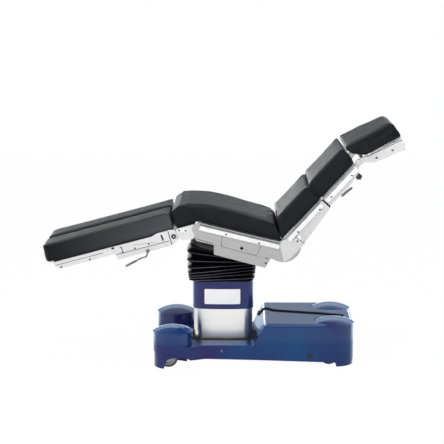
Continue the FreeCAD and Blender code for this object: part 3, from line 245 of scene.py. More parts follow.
def moulded(name, dark, light, rough, scale=900.0, strength=0.2, specular=0.5):
    mat = finish(name, light, rough=rough[0], specular=specular)
    tint(mat, surface_pattern(mat, 12.0), dark, light)
    polish(mat, surface_pattern(mat, 40.0), *rough)
    relief(mat, surface_pattern(mat, scale, detail=1.0), strength, 0.0004)
    return mat


PAD = pad_cover("pad_cover", (0.007, 0.009, 0.011), (0.012, 0.014, 0.017), (0.30, 0.38))
LEG_PAD = leg_cover()
# Each section has its own copy of the same satin steel: painted light and shade, lightest on the
# leg plates and darkest on the seat plates.
STEEL_LIT_TONES = ((0.0, 0.56), (LEG_SLOPE, 0.64), (SEAT_SLOPE, 0.38), (BACK_SLOPE, 0.58),
               (HEAD_SLOPE, 0.60))
STEEL = {slope: brushed_steel("satin_steel_%d" % i, grey(tone), grey(tone + 0.08), (0.32, 0.42),
                              slope, metallic=0.6)
         for i, (slope, tone) in enumerate(STEEL_LIT_TONES)}
RAIL = brushed_steel("rail_steel", grey(0.78), grey(0.86), (0.20, 0.28), along=(20, 20, 20),
                     metallic=0.5)
COLUMN_STEEL = brushed_steel("column_steel", (0.80, 0.80, 0.79), (0.84, 0.84, 0.83),
                             (0.28, 0.30), along=(0.3, 0.3, 30))
MACHINED = brushed_steel("machined_metal", grey(0.30), grey(0.42), (0.30, 0.45),
                         along=(30, 30, 30), metallic=0.8)
BLUE = blue_paint("blue_gloss")
BLACK = moulded("black_plastic", (0.012, 0.012, 0.013), (0.028, 0.028, 0.030), (0.38, 0.52))
RUBBER = moulded("bellows_rubber", (0.002, 0.002, 0.003), (0.004, 0.004, 0.005), (0.28, 0.36),
                 300.0, 0.05, 0.10)
# Pale grey for the ridges of the bellows: a painted highlight.
RIDGE_HIGHLIGHT = moulded("bellows_ridge_highlight", (0.16, 0.16, 0.17), (0.24, 0.24, 0.25), (0.30, 0.45), 300.0, 0.05)
TYRE = moulded("tyre_rubber", (0.10, 0.10, 0.11), (0.16, 0.16, 0.17), (0.55, 0.70))
CASTING = moulded("painted_casting", (0.13, 0.14, 0.15), (0.19, 0.20, 0.21), (0.45, 0.60),
                  300.0, 0.35)
WHITE = moulded("white_plate", (0.95, 0.95, 0.97), (0.98, 0.98, 1.0), (0.28, 0.36), 1500.0, 0.05)
# Near-black for dark slots, and painted shade in gaps, recesses, the base's groove and round the
# column.
SEAM_AND_SHADE = moulded("seam_shadow", (0.006, 0.006, 0.007), (0.012, 0.012, 0.013), (0.60, 0.75),
               specular=0.2)
SEAM_GREY = moulded("seam_grey", grey(0.08), grey(0.13), (0.50, 0.65))
BAND = moulded("edge_band", (0.22, 0.22, 0.25), (0.30, 0.30, 0.33), (0.40, 0.50))
SCREW = brushed_steel("screw_steel", grey(0.20), grey(0.32), (0.25, 0.35), along=(40, 40, 40))
HANDLE = brushed_steel("handle_metal", grey(0.10), grey(0.17), (0.30, 0.42), along=(30, 30, 30),
                       metallic=0.3)

BY_SLOT = {"pad": PAD, "steel": STEEL[0.0], "rail": RAIL, "blue": BLUE, "black": BLACK,
           "bellows": RUBBER, "tyre": TYRE, "casting": CASTING, "machined": MACHINED}
SLOPES = {"seat_": SEAT_SLOPE, "leg_": LEG_SLOPE, "back_": BACK_SLOPE, "head_": HEAD_SLOPE,
          "neck_": HEAD_SLOPE}
for part in frame["record"]["subparts"]:
    node, kind = part["node"], part["material_slot"]
    coat = BY_SLOT[kind]
    if kind == "steel":
        coat = STEEL[next((s for start, s in SLOPES.items() if node.startswith(start)), 0.0)]
        if node.startswith("column_"):
            coat = COLUMN_STEEL
    if "lever" in node or node == "head_bail":
        coat = HANDLE
    mesh = frame["nodes"][node].data
    mesh.materials.clear()
    mesh.materials.append(coat)


# Making pieces

def piece_of(name, bm, coats, crease=35.0):
    mesh = bpy.data.meshes.new(name)
    bm.to_mesh(mesh)
    bm.free()
    for coat in coats:
        mesh.materials.append(coat)
    mesh.shade_smooth()
    mesh.set_sharp_from_angle(angle=math.radians(crease))
    piece = bpy.data.objects.new(name, mesh)
    bpy.context.scene.collection.objects.link(piece)
    return piece


def block(outline, y0, y1):
    """Closed block from a side outline in millimetres, between two widths."""
    bm = bmesh.new()
    face = bm.faces.new([bm.verts.new((u * MM, y0 * MM, w * MM)) for u, w in outline])
    grown = bmesh.ops.extrude_face_region(bm, geom=[face])["geom"]
    moved = [g for g in grown if isinstance(g, bmesh.types.BMVert)]
    bmesh.ops.translate(bm, vec=(0, (y1 - y0) * MM, 0), verts=moved)
    bmesh.ops.recalc_face_normals(bm, faces=bm.faces)
    return bm


def round_edges(bm, picked, radius, segments=3):
    if picked:
        bmesh.ops.bevel(bm, geom=picked, offset=radius * MM, segments=segments, profile=0.5,
                        affect="EDGES", material=-1, clamp_overlap=True)


def middle(edge):
    """The middle of an edge, in millimetres."""
    return (edge.verts[0].co + edge.verts[1].co) / 2 / MM


def y_span(edge):
    """How far an edge runs across the table, in metres."""
    return abs(edge.verts[0].co.y - edge.verts[1].co.y)


def cut(bm, at, facing, **cleared):
    """Cuts all faces along a plane. The keywords clear one side of it."""
    return bmesh.ops.bisect_plane(bm, geom=bm.verts[:] + bm.edges[:] + bm.faces[:],
                                  plane_co=at, plane_no=facing, **cleared)


def trim(bm, at, facing):
    """Cuts away what lies beyond a plane and closes the cut."""
    made = cut(bm, [c * MM for c in at], facing, clear_outer=True)
    rim = [g for g in made["geom_cut"] if isinstance(g, bmesh.types.BMEdge)]
    bmesh.ops.holes_fill(bm, edges=rim, sides=0)
    bmesh.ops.recalc_face_normals(bm, faces=bm.faces)


def evaluated_mesh(piece):
    graph = bpy.context.evaluated_depsgraph_get()
    return bpy.data.meshes.new_from_object(piece.evaluated_get(graph))


def remeshed(bm, voxel):
    mesh = bpy.data.meshes.new("stuffing")
    bm.to_mesh(mesh)
    bm.free()
    piece = bpy.data.objects.new("stuffing", mesh)
    bpy.context.scene.collection.objects.link(piece)
    skin = piece.modifiers.new("skin", "REMESH")
    skin.mode = "VOXEL"
    skin.voxel_size = voxel
    mesh = evaluated_mesh(piece)
    piece.modifiers.clear()
    piece.data = mesh
    return piece


BOARD_REACH = 0.004
AIR_FORCE = 5.0
CLOTH_STEPS = 15
CLOTH_CACHE_END = 20


def swell(piece, floor_height, cap):
    """Fills the cover with air over its board, and keeps each point within a cap."""
    mesh = piece.data
    count = len(mesh.vertices)
    rest = np.zeros(count * 3, np.float32)
    mesh.vertices.foreach_get("co", rest)
    rest = rest.reshape(-1, 3)
    held = piece.vertex_groups.new(name="board")
    held.add([i for i in range(count) if rest[i, 2] < floor_height(rest[i, 0]) + BOARD_REACH],
             1.0, "REPLACE")
    cloth = piece.modifiers.new("cover", "CLOTH")
    cloth.settings.quality = 4
    cloth.settings.mass = 0.3
    cloth.settings.tension_stiffness = 12
    cloth.settings.compression_stiffness = 12
    cloth.settings.shear_stiffness = 5
    cloth.settings.bending_stiffness = 0.4
    cloth.settings.use_pressure = True
    cloth.settings.uniform_pressure_force = AIR_FORCE
    cloth.settings.effector_weights.gravity = 0
    cloth.settings.vertex_group_mass = "board"
    cloth.point_cache.frame_start = 1
    cloth.point_cache.frame_end = CLOTH_CACHE_END
    for step in range(1, CLOTH_STEPS + 1):
        bpy.context.scene.frame_set(step)
    filled = evaluated_mesh(piece)
    moved = np.zeros(count * 3, np.float32)
    filled.vertices.foreach_get("co", moved)
    shift = moved.reshape(-1, 3) - rest
    reach = np.linalg.norm(shift, axis=1, keepdims=True)
    shift *= np.minimum(1.0, cap * MM / np.maximum(reach, 1e-9))
    piece.modifiers.clear()
    piece.vertex_groups.clear()
    mesh.vertices.foreach_set("co", (rest + shift).ravel())
    bpy.context.scene.frame_set(1)


def sewn(bm, at, facing, where, depth, half):
    """Sinks a stitched channel into the cover along a plane."""
    facing = Vector(facing).normalized()
    for offset in (-half, 0, half):
        cut(bm, Vector(at) * MM + facing * offset * MM, facing)
    bm.normal_update()
    sunk = [v for v in bm.verts if abs((v.co - Vector(at) * MM).dot(facing)) < 1e-5 and where(v)]
    for v, normal in [(v, v.normal.copy()) for v in sunk]:
        v.co -= normal * depth * MM


def crease(bm, line, depth, width):
    """Presses a soft fold into the cover along a line of points."""
    bm.normal_update()
    marks = [Vector(p) * MM for p in line]
    for v in bm.verts:
        near = 1.0
        for a, b in zip(marks, marks[1:]):
            t = max(0.0, min(1.0, (v.co - a).dot(b - a) / (b - a).length_squared))
            near = min(near, (v.co - a.lerp(b, t)).length)
        if near < 2.5 * width * MM:
            share = near / (width * MM)
            v.co -= v.normal * depth * MM * math.exp(-share * share) * (1 - 0.4 * share)


def upholstered(name, bm, place, floor_height, seams=(), folds=(), cap=3.5, voxel=0.008,
                coats=(PAD,), inner=0.0):
    """A foam pad in its cover: filled, smoothed, sewn and set in its place."""
    piece = remeshed(bm, voxel)
    swell(piece, floor_height, cap)
    bm = bmesh.new()
    bm.from_mesh(piece.data)
    bpy.data.objects.remove(piece)
    for _ in range(2):
        bmesh.ops.smooth_vert(bm, verts=bm.verts, factor=0.4, use_axis_x=True, use_axis_y=True,
                              use_axis_z=True)
    bmesh.ops.subdivide_edges(bm, edges=bm.edges, cuts=1, use_grid_fill=True, smooth=0.6)
    for fold in folds:
        crease(bm, *fold)
    for seam in seams:
        sewn(bm, *seam)
    # Faces near the middle of the table take the near-black second coat: painted shade in the gap
    # between the leg pads.
    for face in bm.faces:
        if abs(face.calc_center_median().y) < inner * MM:
            face.material_index = 1
    bm.transform(place)
    piece = piece_of(name, bm, coats, 60.0)
    return piece


# Pads

def on_wall(v):
    return abs(v.normal.z) < 0.6


def side_seam(height, depth, half):
    """A seam round the pad's walls at one height."""
    return (0, 0, height), (0, 0, 1), on_wall, depth, half


def leg_pad(side, label):
    foot_end, seat_end, top = -843, -144, 89
    outer_y = side * PAD_SIDE
    bm = block([(foot_end, 0), (foot_end, top), (seat_end, top), (seat_end, 0)],
               *sorted((side * LEG_PAD_GAP, outer_y)))

    def foot_corner(e):
        return middle(e).x < foot_end + 5 and 10 < middle(e).z < 80

    def on_top(e):
        return abs(middle(e).z - top) < 0.5

    round_edges(bm, [e for e in bm.edges if foot_corner(e)
                     and abs(middle(e).y - outer_y) < 1], 40, 7)
    round_edges(bm, [e for e in bm.edges if foot_corner(e)
                     and abs(middle(e).y - outer_y) > 100], 18, 4)
    round_edges(bm, [e for e in bm.edges if on_top(e) and abs(middle(e).y) < 30
                     and y_span(e) < 0.01], 30, 6)
    round_edges(bm, [e for e in bm.edges if on_top(e) and abs(middle(e).y) > 60], 7, 3)
    round_edges(bm, [e for e in bm.edges if abs(middle(e).z) < 0.5], 4, 2)
    pad = upholstered("leg_cushion_" + label, bm, LEG, lambda u: 0.0, [side_seam(81, 1.6, 2.0)],
                      coats=(LEG_PAD, SEAM_AND_SHADE), inner=46.0)
    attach(pad, "leg_" + label)
    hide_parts("leg_pad_" + label)


def to_seat(u, w):
    """A point of the leg section in the seat's own length and height."""
    p = SEAT.inverted() @ LEG @ Vector((u * MM, 0, w * MM))
    return p.x / MM, p.z / MM


def seat_cushion():
    """One cushion that runs over the leg hinge in a low hump."""
    hump = [(-126, 65), (-100, 74.5), (-73, 80), (-48, 85.5), (-22, 91), (4, 95.5), (30, 98.7),
            (57, 100), (84, 101), (138, 101), (193, 99), (247, 96.5), (313, 93), (350, 91),
            (391, 86)]
    foot_corner = to_seat(-131, 98)
    outline = [to_seat(-132, 6), foot_corner] + hump + [(440, 8), (3, 8), (-8, 6)]
    bm = block(outline, -PAD_SIDE, PAD_SIDE)
    foot = [e for e in bm.edges
            if (Vector((middle(e).x, middle(e).z)) - Vector(foot_corner)).length < 3]
    round_edges(bm, foot, 9, 3)
    rims = [e for e in bm.edges if abs(abs(middle(e).y) - PAD_SIDE) < 0.5 and middle(e).z > 30
            and not y_span(e) > 0.01]
    round_edges(bm, rims, 12, 4)
    round_edges(bm, [e for e in bm.edges if middle(e).x > 376 and middle(e).z > 85
                     and y_span(e) > 0.1], 10, 3)
    seams = [((0, sign * (PAD_SIDE - 14), 0), (0, 1, 0),
              lambda v: v.normal.z > 0.6 and v.co.z > 0.07, 1.4, 2.0) for sign in (-1, 1)]
    folds = [([(384, -258, 80), (350, -236, 88), (300, -214, 91)], 4.5, 10),
             ([(386, -222, 82), (352, -196, 88), (316, -160, 91)], 3.6, 9),
             ([(388, -160, 82), (356, -120, 88), (336, -60, 90)], 3.4, 10),
             ([(390, -90, 82), (362, -52, 88), (350, 10, 89)], 2.6, 9),
             ([(384, 258, 80), (340, 230, 88), (300, 196, 91)], 4.5, 10),
             ([(388, 150, 82), (356, 110, 88), (338, 50, 90)], 3.4, 10),
             ([(-150, 268, 60), (-128, 236, 70), (-118, 180, 76), (-126, 120, 72)], 5.0, 14),
             ([(-60, -269, 30), (-78, -268, 60), (-92, -258, 80)], 2.0, 9)]

    def board_height(u):
        return 0.010 if u > 0 else 0.010 + u * math.tan(math.radians(SEAT_SLOPE - LEG_SLOPE))

    pad = upholstered("seat_cushion", bm, SEAT, board_height, seams, folds, 4.0)
    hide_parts("seat_pad", "seat_pad_front")
    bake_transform(pad)


def back_pads():
    top, bottom = 115.5, 18
    for name, outline, node in (
            ("back_cushion_lower", [(11, 22), (66, top), (309, top), (309, bottom)],
             "back_pad_lower"),
            ("back_cushion_upper", [(315, bottom), (315, top), (583, top), (561, bottom)],
             "back_pad_upper")):
        bm = block(outline, -PAD_SIDE, PAD_SIDE)
        round_edges(bm, [e for e in bm.edges if y_span(e) > 0.1], 5, 3)
        rims = [e for e in bm.edges
                if abs(abs(middle(e).y) - PAD_SIDE) < 0.5 and y_span(e) < 0.01]
        round_edges(bm, rims, 15, 4)
        pad = upholstered(name, bm, BACK, lambda u: 0.022, [side_seam(98, 1.3, 1.8)], (), 3.0)
        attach(pad, "back")
        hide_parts(node)
    # Near-black block between the two back pads: painted shade in the gap.
    bm = block([(303, 24), (303, 106), (321, 106), (321, 24)], -258.0, 258.0)
    bm.transform(BACK)
    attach(piece_of("back_pad_gap_shade", bm, [SEAM_AND_SHADE]), "back")


def head_cushion():
    """The head pad, narrower towards its end by a slanted trim on both sides."""
    outline = [(-27, 84), (-25, 94), (-15, 99), (120, 103), (243, 105), (262, 84), (268, 24),
               (266, 12), (56, 12), (-11, 54)]
    bm = block(outline, -PAD_SIDE, PAD_SIDE)
    lean = math.atan2(270 - 195, 270 - 90)
    for sign in (-1, 1):
        trim(bm, (90, sign * 268, 0), (math.sin(lean), sign * math.cos(lean), 0))
    across = [e for e in bm.edges if y_span(e) > 0.1]
    round_edges(bm, [e for e in across if middle(e).z > 70 and middle(e).x > 200], 10, 4)
    rims = [e for e in bm.edges if abs(middle(e).y) > 180 and e.is_manifold
            and e.calc_face_angle(0) > 0.6 and y_span(e) < 0.2]
    round_edges(bm, rims, 9, 3)
    pad = upholstered("head_cushion", bm, HEAD, lambda u: 0.014, [side_seam(84, 1.4, 1.8)],
                      voxel=0.007)
    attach(pad, "head")
    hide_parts("head_pad")


for side, label in ((-1, "left"), (1, "right")):
    leg_pad(side, label)
seat_cushion()
back_pads()
head_cushion()


# Rings round the column

def column_outline(half_x, half_y):
    """Flat rounded rectangle with softly bowed long sides."""
    bm = bmesh.new()
    bmesh.ops.create_grid(bm, x_segments=1, y_segments=1, size=1.0)
    bmesh.ops.scale(bm, vec=(half_x, half_y, 1), verts=bm.verts)
    bmesh.ops.bevel(bm, geom=bm.verts[:], offset=0.046, segments=7, profile=0.5,
                    affect="VERTICES", material=-1)
    for x in (-0.09, -0.06, -0.03, 0.0, 0.03, 0.06, 0.09):
        cut(bm, (x, 0, 0), (1, 0, 0))
    for v in bm.verts:
        v.co.y *= 1.0 - 0.05 * min(1.0, abs(v.co.x) / half_x) ** 2
    bmesh.ops.dissolve_edges(bm, edges=[e for e in bm.edges if not e.is_boundary])
    return bm


def first_ring(half_x, half_y):
    """The outline as a bare loop, with each point's place in the plan."""
    bm = column_outline(half_x, half_y)
    bmesh.ops.delete(bm, geom=bm.faces[:], context="FACES_ONLY")
    return bm, bm.edges[:], {v: v.co.copy() for v in bm.verts}


def next_ring(bm, loop, home, coat=0):
    """Grows a strip of faces from a ring. New points keep the old ones' place in the plan."""
    grown = bmesh.ops.extrude_edge_only(bm, edges=loop)["geom"]
    for face in (g for g in grown if isinstance(g, bmesh.types.BMFace)):
        face.material_index = coat
    loop = [g for g in grown if isinstance(g, bmesh.types.BMEdge)]
    home = {v: next(home[e.other_vert(v)] for e in v.link_edges if e.other_vert(v) in home)
            for v in {v for e in loop for v in e.verts}}
    return loop, home


# Bellows

BELLOWS_X = -0.006
BELLOWS_HALF_X, BELLOWS_HALF_Y = 0.184, 0.153
BELLOWS_BOTTOM = 0.4375
BELLOWS_MID = 0.526
BELLOWS_TOP = (0.640, 0.5515)
VALLEY_INSET = 0.020
BEAD = 0.0016
RUBBER_WALL = 0.0016
# Height on the foot side, height on the head side, and inset
RIDGES = [(0.443, 0.457, 0.007), (0.455, 0.483, 0.004), (0.466, 0.503, 0.002),
          (0.482, 0.521, 0.0), (0.511, 0.536, -0.002), (0.552, 0.545, -0.004),
          (0.600, 0.549, -0.004)]


def bellows_levels():
    """Rings as both heights, inset and coat. The faces just above each ridge take a pale coat: a
    painted highlight along the ridge.
    """
    levels = [(BELLOWS_BOTTOM, BELLOWS_BOTTOM, VALLEY_INSET, 0)]
    last = (BELLOWS_BOTTOM, BELLOWS_BOTTOM)
    for foot, head, inset in RIDGES:
        low = [last[0] + (foot - last[0]) * 0.42, last[1] + (head - last[1]) * 0.42]
        if len(levels) > 1:
            levels.append((*low, VALLEY_INSET, 0))
        levels += [(foot - BEAD, head - BEAD, inset + 0.0014, 0), (foot, head, inset, 0),
                   (foot + BEAD, head + BEAD, inset + 0.0012, 1)]
        last = (foot, head)
    levels += [(0.622, 0.5502, 0.016, 0), (*BELLOWS_TOP, 0.014, 0)]
    return levels


def bellows_tube():
    """The whole tube. Each ring keeps its plan and takes its own height, lean and inset."""
    bm, loop, home = first_ring(BELLOWS_HALF_X, BELLOWS_HALF_Y)
    for i, (foot, head, inset, coat) in enumerate(bellows_levels()):
        if i:
            loop, home = next_ring(bm, loop, home, coat)
        for v, base in home.items():
            x = base.x * (BELLOWS_HALF_X - inset) / BELLOWS_HALF_X
            y = base.y * (BELLOWS_HALF_Y - inset) / BELLOWS_HALF_Y
            share = (x + BELLOWS_HALF_X) / (2 * BELLOWS_HALF_X)
            v.co = (x + BELLOWS_X, y, foot + (head - foot) * share)
    return bm


def bellows_piece(name, above, node):
    """One half of the folded tube, cut along the tilting block's plane."""
    bm = bellows_tube()
    cut(bm, (BELLOWS_X, 0, BELLOWS_MID), SEAT_UP, clear_outer=not above, clear_inner=above)
    bmesh.ops.recalc_face_normals(bm, faces=bm.faces)
    bmesh.ops.solidify(bm, geom=bm.faces[:], thickness=RUBBER_WALL)
    bmesh.ops.recalc_face_normals(bm, faces=bm.faces)
    piece = piece_of(name, bm, [RUBBER, RIDGE_HIGHLIGHT], 40.0)
    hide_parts(node)
    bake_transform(piece)


def bellows():
    bellows_piece("bellows_skirt_lower", False, "bellows_lower")
    bellows_piece("bellows_skirt_upper", True, "bellows_upper")


bellows()


# Column band plate, seal and bead

BAND_FACE = -0.1352
BAND_RADIUS = 0.731


def band_plate():
    """Bare white plate with rounded corners, bowed with the band's face."""
    bm = block([(-99, 315), (-99, 397), (93, 397), (93, 315)], -0.6, 0.6)
    round_edges(bm, [e for e in bm.edges if y_span(e) > 0.001], 6, 4)
    for x in range(-90, 90, 10):
        cut(bm, (x * MM, 0, 0), (1, 0, 0))
    for v in bm.verts:
        v.co.y += BAND_FACE + v.co.x ** 2 / (2 * BAND_RADIUS)
    return piece_of("band_plate", bm, [WHITE], 30.0)


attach(band_plate(), "column_top")


def column_gap_shade():
    """Black flat ring round the column, over the well's gap in the deck: painted shade for the
    dark gap.
    """
    plan_x, plan_y = 0.154, 0.126
    bm, loop, home = first_ring(plan_x, plan_y)
    rings = [(0.152, 0.124, 0.1246), (0.153, 0.125, 0.1256), (0.190, 0.162, 0.1256),
             (0.191, 0.163, 0.1240)]
    for i, (half_x, half_y, z) in enumerate(rings):
        if i:
            loop, home = next_ring(bm, loop, home)
        for v, base in home.items():
            v.co = (base.x * half_x / plan_x, base.y * half_y / plan_y, z)
    bmesh.ops.recalc_face_normals(bm, faces=bm.faces)
    bmesh.ops.solidify(bm, geom=bm.faces[:], thickness=0.0006)
    return piece_of("column_gap_shade", bm, [SEAM_AND_SHADE], 30.0)


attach(column_gap_shade(), "base")


def softened(line):
    """Cuts a line's corners three times over."""
    for _ in range(3):
        corners = [line[0]]
        for a, b in zip(line, line[1:]):
            corners += [a.lerp(b, 0.25), a.lerp(b, 0.75)]
        line = corners + [line[-1]]
    return line


def groove_shade_bead():
    """Black bead laid in the channel over the high body and down its slope: painted shade for the
    dark groove.
    """
    half_wide, shoulder, crown, sunk = 0.0060, 0.0050, 0.0066, 0.001
    cover = frame["nodes"]["base_cover"]
    shape = bmesh.new()
    shape.from_mesh(cover.data)
    shape.transform(cover.matrix_world)
    tree = BVHTree.FromBMesh(shape)
    shape.free()
    line = softened([Vector((x * MM, y * MM, 0.4)) for x, y in (
        (652, -62), (528, -9), (474, 3), (420, 17), (366, 32), (311, 46), (274, 58), (250, 92),
        (222, 130), (200, 190), (196, 258))])
    bm = bmesh.new()
    rows = []
    for i, at in enumerate(line):
        run = (line[min(i + 1, len(line) - 1)] - line[max(i - 1, 0)]).normalized()
        across = Vector((-run.y, run.x, 0)) * half_wide
        hits = [tree.ray_cast(at + across * sign, Vector((0, 0, -1))) for sign in (-1, 1)]
        if hits[0][0] is None or hits[1][0] is None:
            continue
        up = (hits[0][1] + hits[1][1]).normalized()
        a, b = hits[0][0], hits[1][0]
        inward = (b - a) * 0.18
        rows.append([bm.verts.new(p) for p in (
            a - up * sunk, a + up * shoulder, a + inward + up * crown,
            b - inward + up * crown, b + up * shoulder, b - up * sunk)])
    for before, after in zip(rows, rows[1:]):
        for k in range(6):
            n = (k + 1) % 6
            bm.faces.new((before[k], before[n], after[n], after[k]))
    bm.faces.new(rows[0])
    bm.faces.new(rows[-1][::-1])
    bmesh.ops.recalc_face_normals(bm, faces=bm.faces)
    return piece_of("groove_shade_bead", bm, [SEAM_AND_SHADE], 50.0)


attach(groove_shade_bead(), "base")


# Screws, slots and seams

def merge(whole, bm, place):
    """Adds a small form to a larger one, in its section's place."""
    bm.transform(place)
    held = bpy.data.meshes.new("held")
    bm.to_mesh(held)
    bm.free()
    whole.from_mesh(held)
    bpy.data.meshes.remove(held)


def face_outwards(bm, side):
    bmesh.ops.rotate(bm, matrix=Matrix.Rotation(math.radians(90) * -side, 3, "X"), verts=bm.verts)


def disc(segments, low_radius, high_radius, depth, rim):
    """Low round head, with its sizes in millimetres. Its crown takes the second coat."""
    bm = bmesh.new()
    bmesh.ops.create_cone(bm, segments=segments, radius1=low_radius * MM,
                          radius2=high_radius * MM, depth=depth * MM, cap_ends=True)
    crown = max(bm.faces, key=lambda f: f.calc_center_median().z)
    bmesh.ops.inset_region(bm, faces=[crown], thickness=rim * MM)
    crown.material_index = 1
    return bm, crown


def socket_screw(whole, place, u, w, y, side):
    """Round head with a sunk socket, facing outwards. The socket takes the near-black second coat:
    painted shade in the recess.
    """
    radius, proud, bedded = 6.0, 1.8, 0.3
    bm, crown = disc(20, radius, radius * 0.72, proud, radius * 0.30)
    bmesh.ops.translate(bm, vec=(0, 0, -proud * 0.8 * MM), verts=crown.verts[:])
    face_outwards(bm, side)
    bmesh.ops.translate(bm, vec=(u * MM, side * (y + proud / 2 - bedded) * MM, w * MM),
                        verts=bm.verts)
    merge(whole, bm, place)


def slip(whole, place, points, side, y, wide):
    """Thin inlay along a line on a side plate."""
    proud, bedded = 0.25, 0.4
    for a, b in zip(points, points[1:]):
        run = Vector((b[0] - a[0], 0, b[1] - a[1]))
        bm = bmesh.new()
        bmesh.ops.create_cube(bm, size=1.0)
        bmesh.ops.scale(bm, vec=((run.length + wide) * MM, (proud + bedded) * MM, wide * MM),
                        verts=bm.verts)
        bmesh.ops.rotate(bm, matrix=Matrix.Rotation(-math.atan2(run.z, run.x), 3, "Y"),
                         verts=bm.verts)
        bmesh.ops.translate(bm, verts=bm.verts, vec=(
            (a[0] + b[0]) / 2 * MM, side * (y + (proud - bedded) / 2) * MM,
            (a[1] + b[1]) / 2 * MM))
        merge(whole, bm, place)


def fittings(name, place, body, screws=(), seams=(), dark_seams=(), sides=(-1, 1),
             face=PLATE_FACE):
    """Screws and seams of one section. A screw may give its own face as a third value."""
    for kind, coats, lines in (("seams", [SEAM_GREY], seams), ("slots", [SEAM_AND_SHADE], dark_seams)):
        bm = bmesh.new()
        for side in sides:
            for wide, points in lines:
                slip(bm, place, points, side, face, wide)
        if len(bm.verts):
            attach(piece_of(name + "_" + kind, bm, coats, 30.0), body)
        else:
            bm.free()
    bm = bmesh.new()
    for side in sides:
        for u, w, *depth in screws:
            socket_screw(bm, place, u, w, depth[0] if depth else face, side)
    if len(bm.verts):
        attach(piece_of(name + "_screws", bm, [SCREW, SEAM_AND_SHADE], 30.0), body)
    else:
        bm.free()


def plate_piece(name, place, body, side, coat, y0, y1, outline, corner=0.0):
    """Small flat plate of its own on one side."""
    bm = block(outline, *sorted((side * y0, side * y1)))
    if corner:
        round_edges(bm, [e for e in bm.edges if y_span(e) > 0.0005], corner, 3)
    bm.transform(place)
    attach(piece_of(name, bm, [coat], 30.0), body)


def pivot_cap(name, place, u, w, y, side, body):
    """Round black cap with a pale screw in its middle."""
    bm, _ = disc(32, 13, 12, 2.4, 8.5)
    face_outwards(bm, side)
    bmesh.ops.translate(bm, vec=(u * MM, side * y * MM, w * MM), verts=bm.verts)
    bm.transform(place)
    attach(piece_of(name, bm, [BLACK, RAIL], 30.0), body)


LEG_SCREWS = [(-767, -39), (-611, -39), (-367, -42), (-289, -38)]
LEG_SEAMS = [(1.6, [(-375, -23), (-254, -39)])]
LEG_SLOTS = [(2.4, [(-790, -24), (-533, -23)]),
             (10.0, [(-481, -13), (-476, -13)]),
             (4.5, [(-440, -18), (-434, -18), (-432, -47), (-438, -47)]),
             (2.6, [(-470, -50), (-180, -50)]),
             (9.0, [(-214, -13), (-211, -37)])]
COUPLING_SLOTS = [(4.0, [(-174, 2), (-172, -72)])]

# Name, coat, kind, the two widths between which it lies, and outline
BACK_PLATES = (
    ("elbow_cover_", STEEL[BACK_SLOPE], "steel", 280.4, 282.2,
     [(78, -22), (78, -79.5), (18, -80), (-20, -79), (-48, -74), (-69, -63), (-52, -44),
      (-34, -16), (-22, 8), (8, 17), (30, 10), (34, -22)]),
    ("elbow_tab_", STEEL[BACK_SLOPE], "steel", 280.4, 282.2,
     [(76, -50), (76, -62), (107, -62), (107, -50)]),
    ("elbow_foot_", STEEL[BACK_SLOPE], "steel", 277.5, 281.0,
     [(100, -61), (106, -61), (106, -51), (100, -51)]),
    ("back_band_lower_", BAND, "steel", 271.0, 275.0,
     [(106, 7), (106, 20.5), (305, 17.5), (305, 7)]),
    ("back_band_upper_", BAND, "steel", 271.0, 275.0,
     [(317, 7), (317, 17.5), (556, 17.5), (556, 7)]),
    # Near-black strip over the split between the back sections: painted shade in the gap.
    ("back_split_shade_", SEAM_AND_SHADE, "black", 273.0, 277.0,
     [(305, 12), (305, -49), (317, -42), (317, 12)]),
)

for side, label in ((-1, "left"), (1, "right")):
    leg = "leg_" + label
    fittings(leg, LEG, leg, LEG_SCREWS, LEG_SEAMS, LEG_SLOTS, (side,))
    fittings("leg_coupling_" + label, LEG, leg, [], [], COUPLING_SLOTS, (side,), COUPLING_FACE)
    pivot_cap("leg_pivot_cap_" + label, LEG, -152, -32, 288.8, side, leg)
    plate_piece("leg_edge_strip_" + label, LEG, leg, side, SEAM_AND_SHADE, 256.0, 266.5,
                [(-798, -12), (-798, 3), (-148, 3), (-148, -12)])
    plate_piece("bracket_plate_" + label, LEG, "leg_bracket", side, RAIL, 270.5, 273.0,
                [(-130, 1), (-130, -15), (-76, -30), (-72, -12)], 4.0)
    for name, coat, kind, y0, y1, outline in BACK_PLATES:
        plate_piece(name + label, BACK, "back", side, coat, y0, y1, outline)
fittings("leg_joint", LEG, "leg_bracket", [(-117, -10), (-84, -19)], face=BRACKET_FACE)
fittings("seat", SEAT, "seat",
         [(146, -24, RAIL_FACE), (324, -28, RAIL_FACE),
          (384, -101, LOWER_COVER_FACE), (385, -128, LOWER_COVER_FACE)],
         [(1.8, [(137, -95), (332, -100)])],
         [(2.2, [(129, -37), (137, -95)]), (2.2, [(337, -46), (330, -92)]),
          (2.5, [(0, -6.5), (438, -6.5)]), (2.6, [(-12, -86), (92, -91)])])
fittings("seat_rail", SEAT, "seat", dark_seams=[(1.8, [(3, -11), (431, -11)])], face=RAIL_FACE)
fittings("back_rail", BACK, "back",
         dark_seams=[(1.8, [(35, 9), (291, 9)]), (1.8, [(323, 4), (552, 4)])], face=RAIL_FACE)
fittings("back", BACK, "back",
         [(103, -11, RAIL_FACE), (266, -13, RAIL_FACE), (62, -43),
          (355, -11, RAIL_FACE), (509, -13, RAIL_FACE)],
         dark_seams=[(2.2, [(73, -22), (78, -78)])], face=ELBOW_FACE)
fittings("head", HEAD, "head", [(102, -30), (194, -30)],
         dark_seams=[(2.4, [(60, -3), (262, -3)])], face=HEAD_FACE)
fittings("base", LEVEL, "base", [(-6, 93)], face=BASE_FACE)


# Stage, light and camera

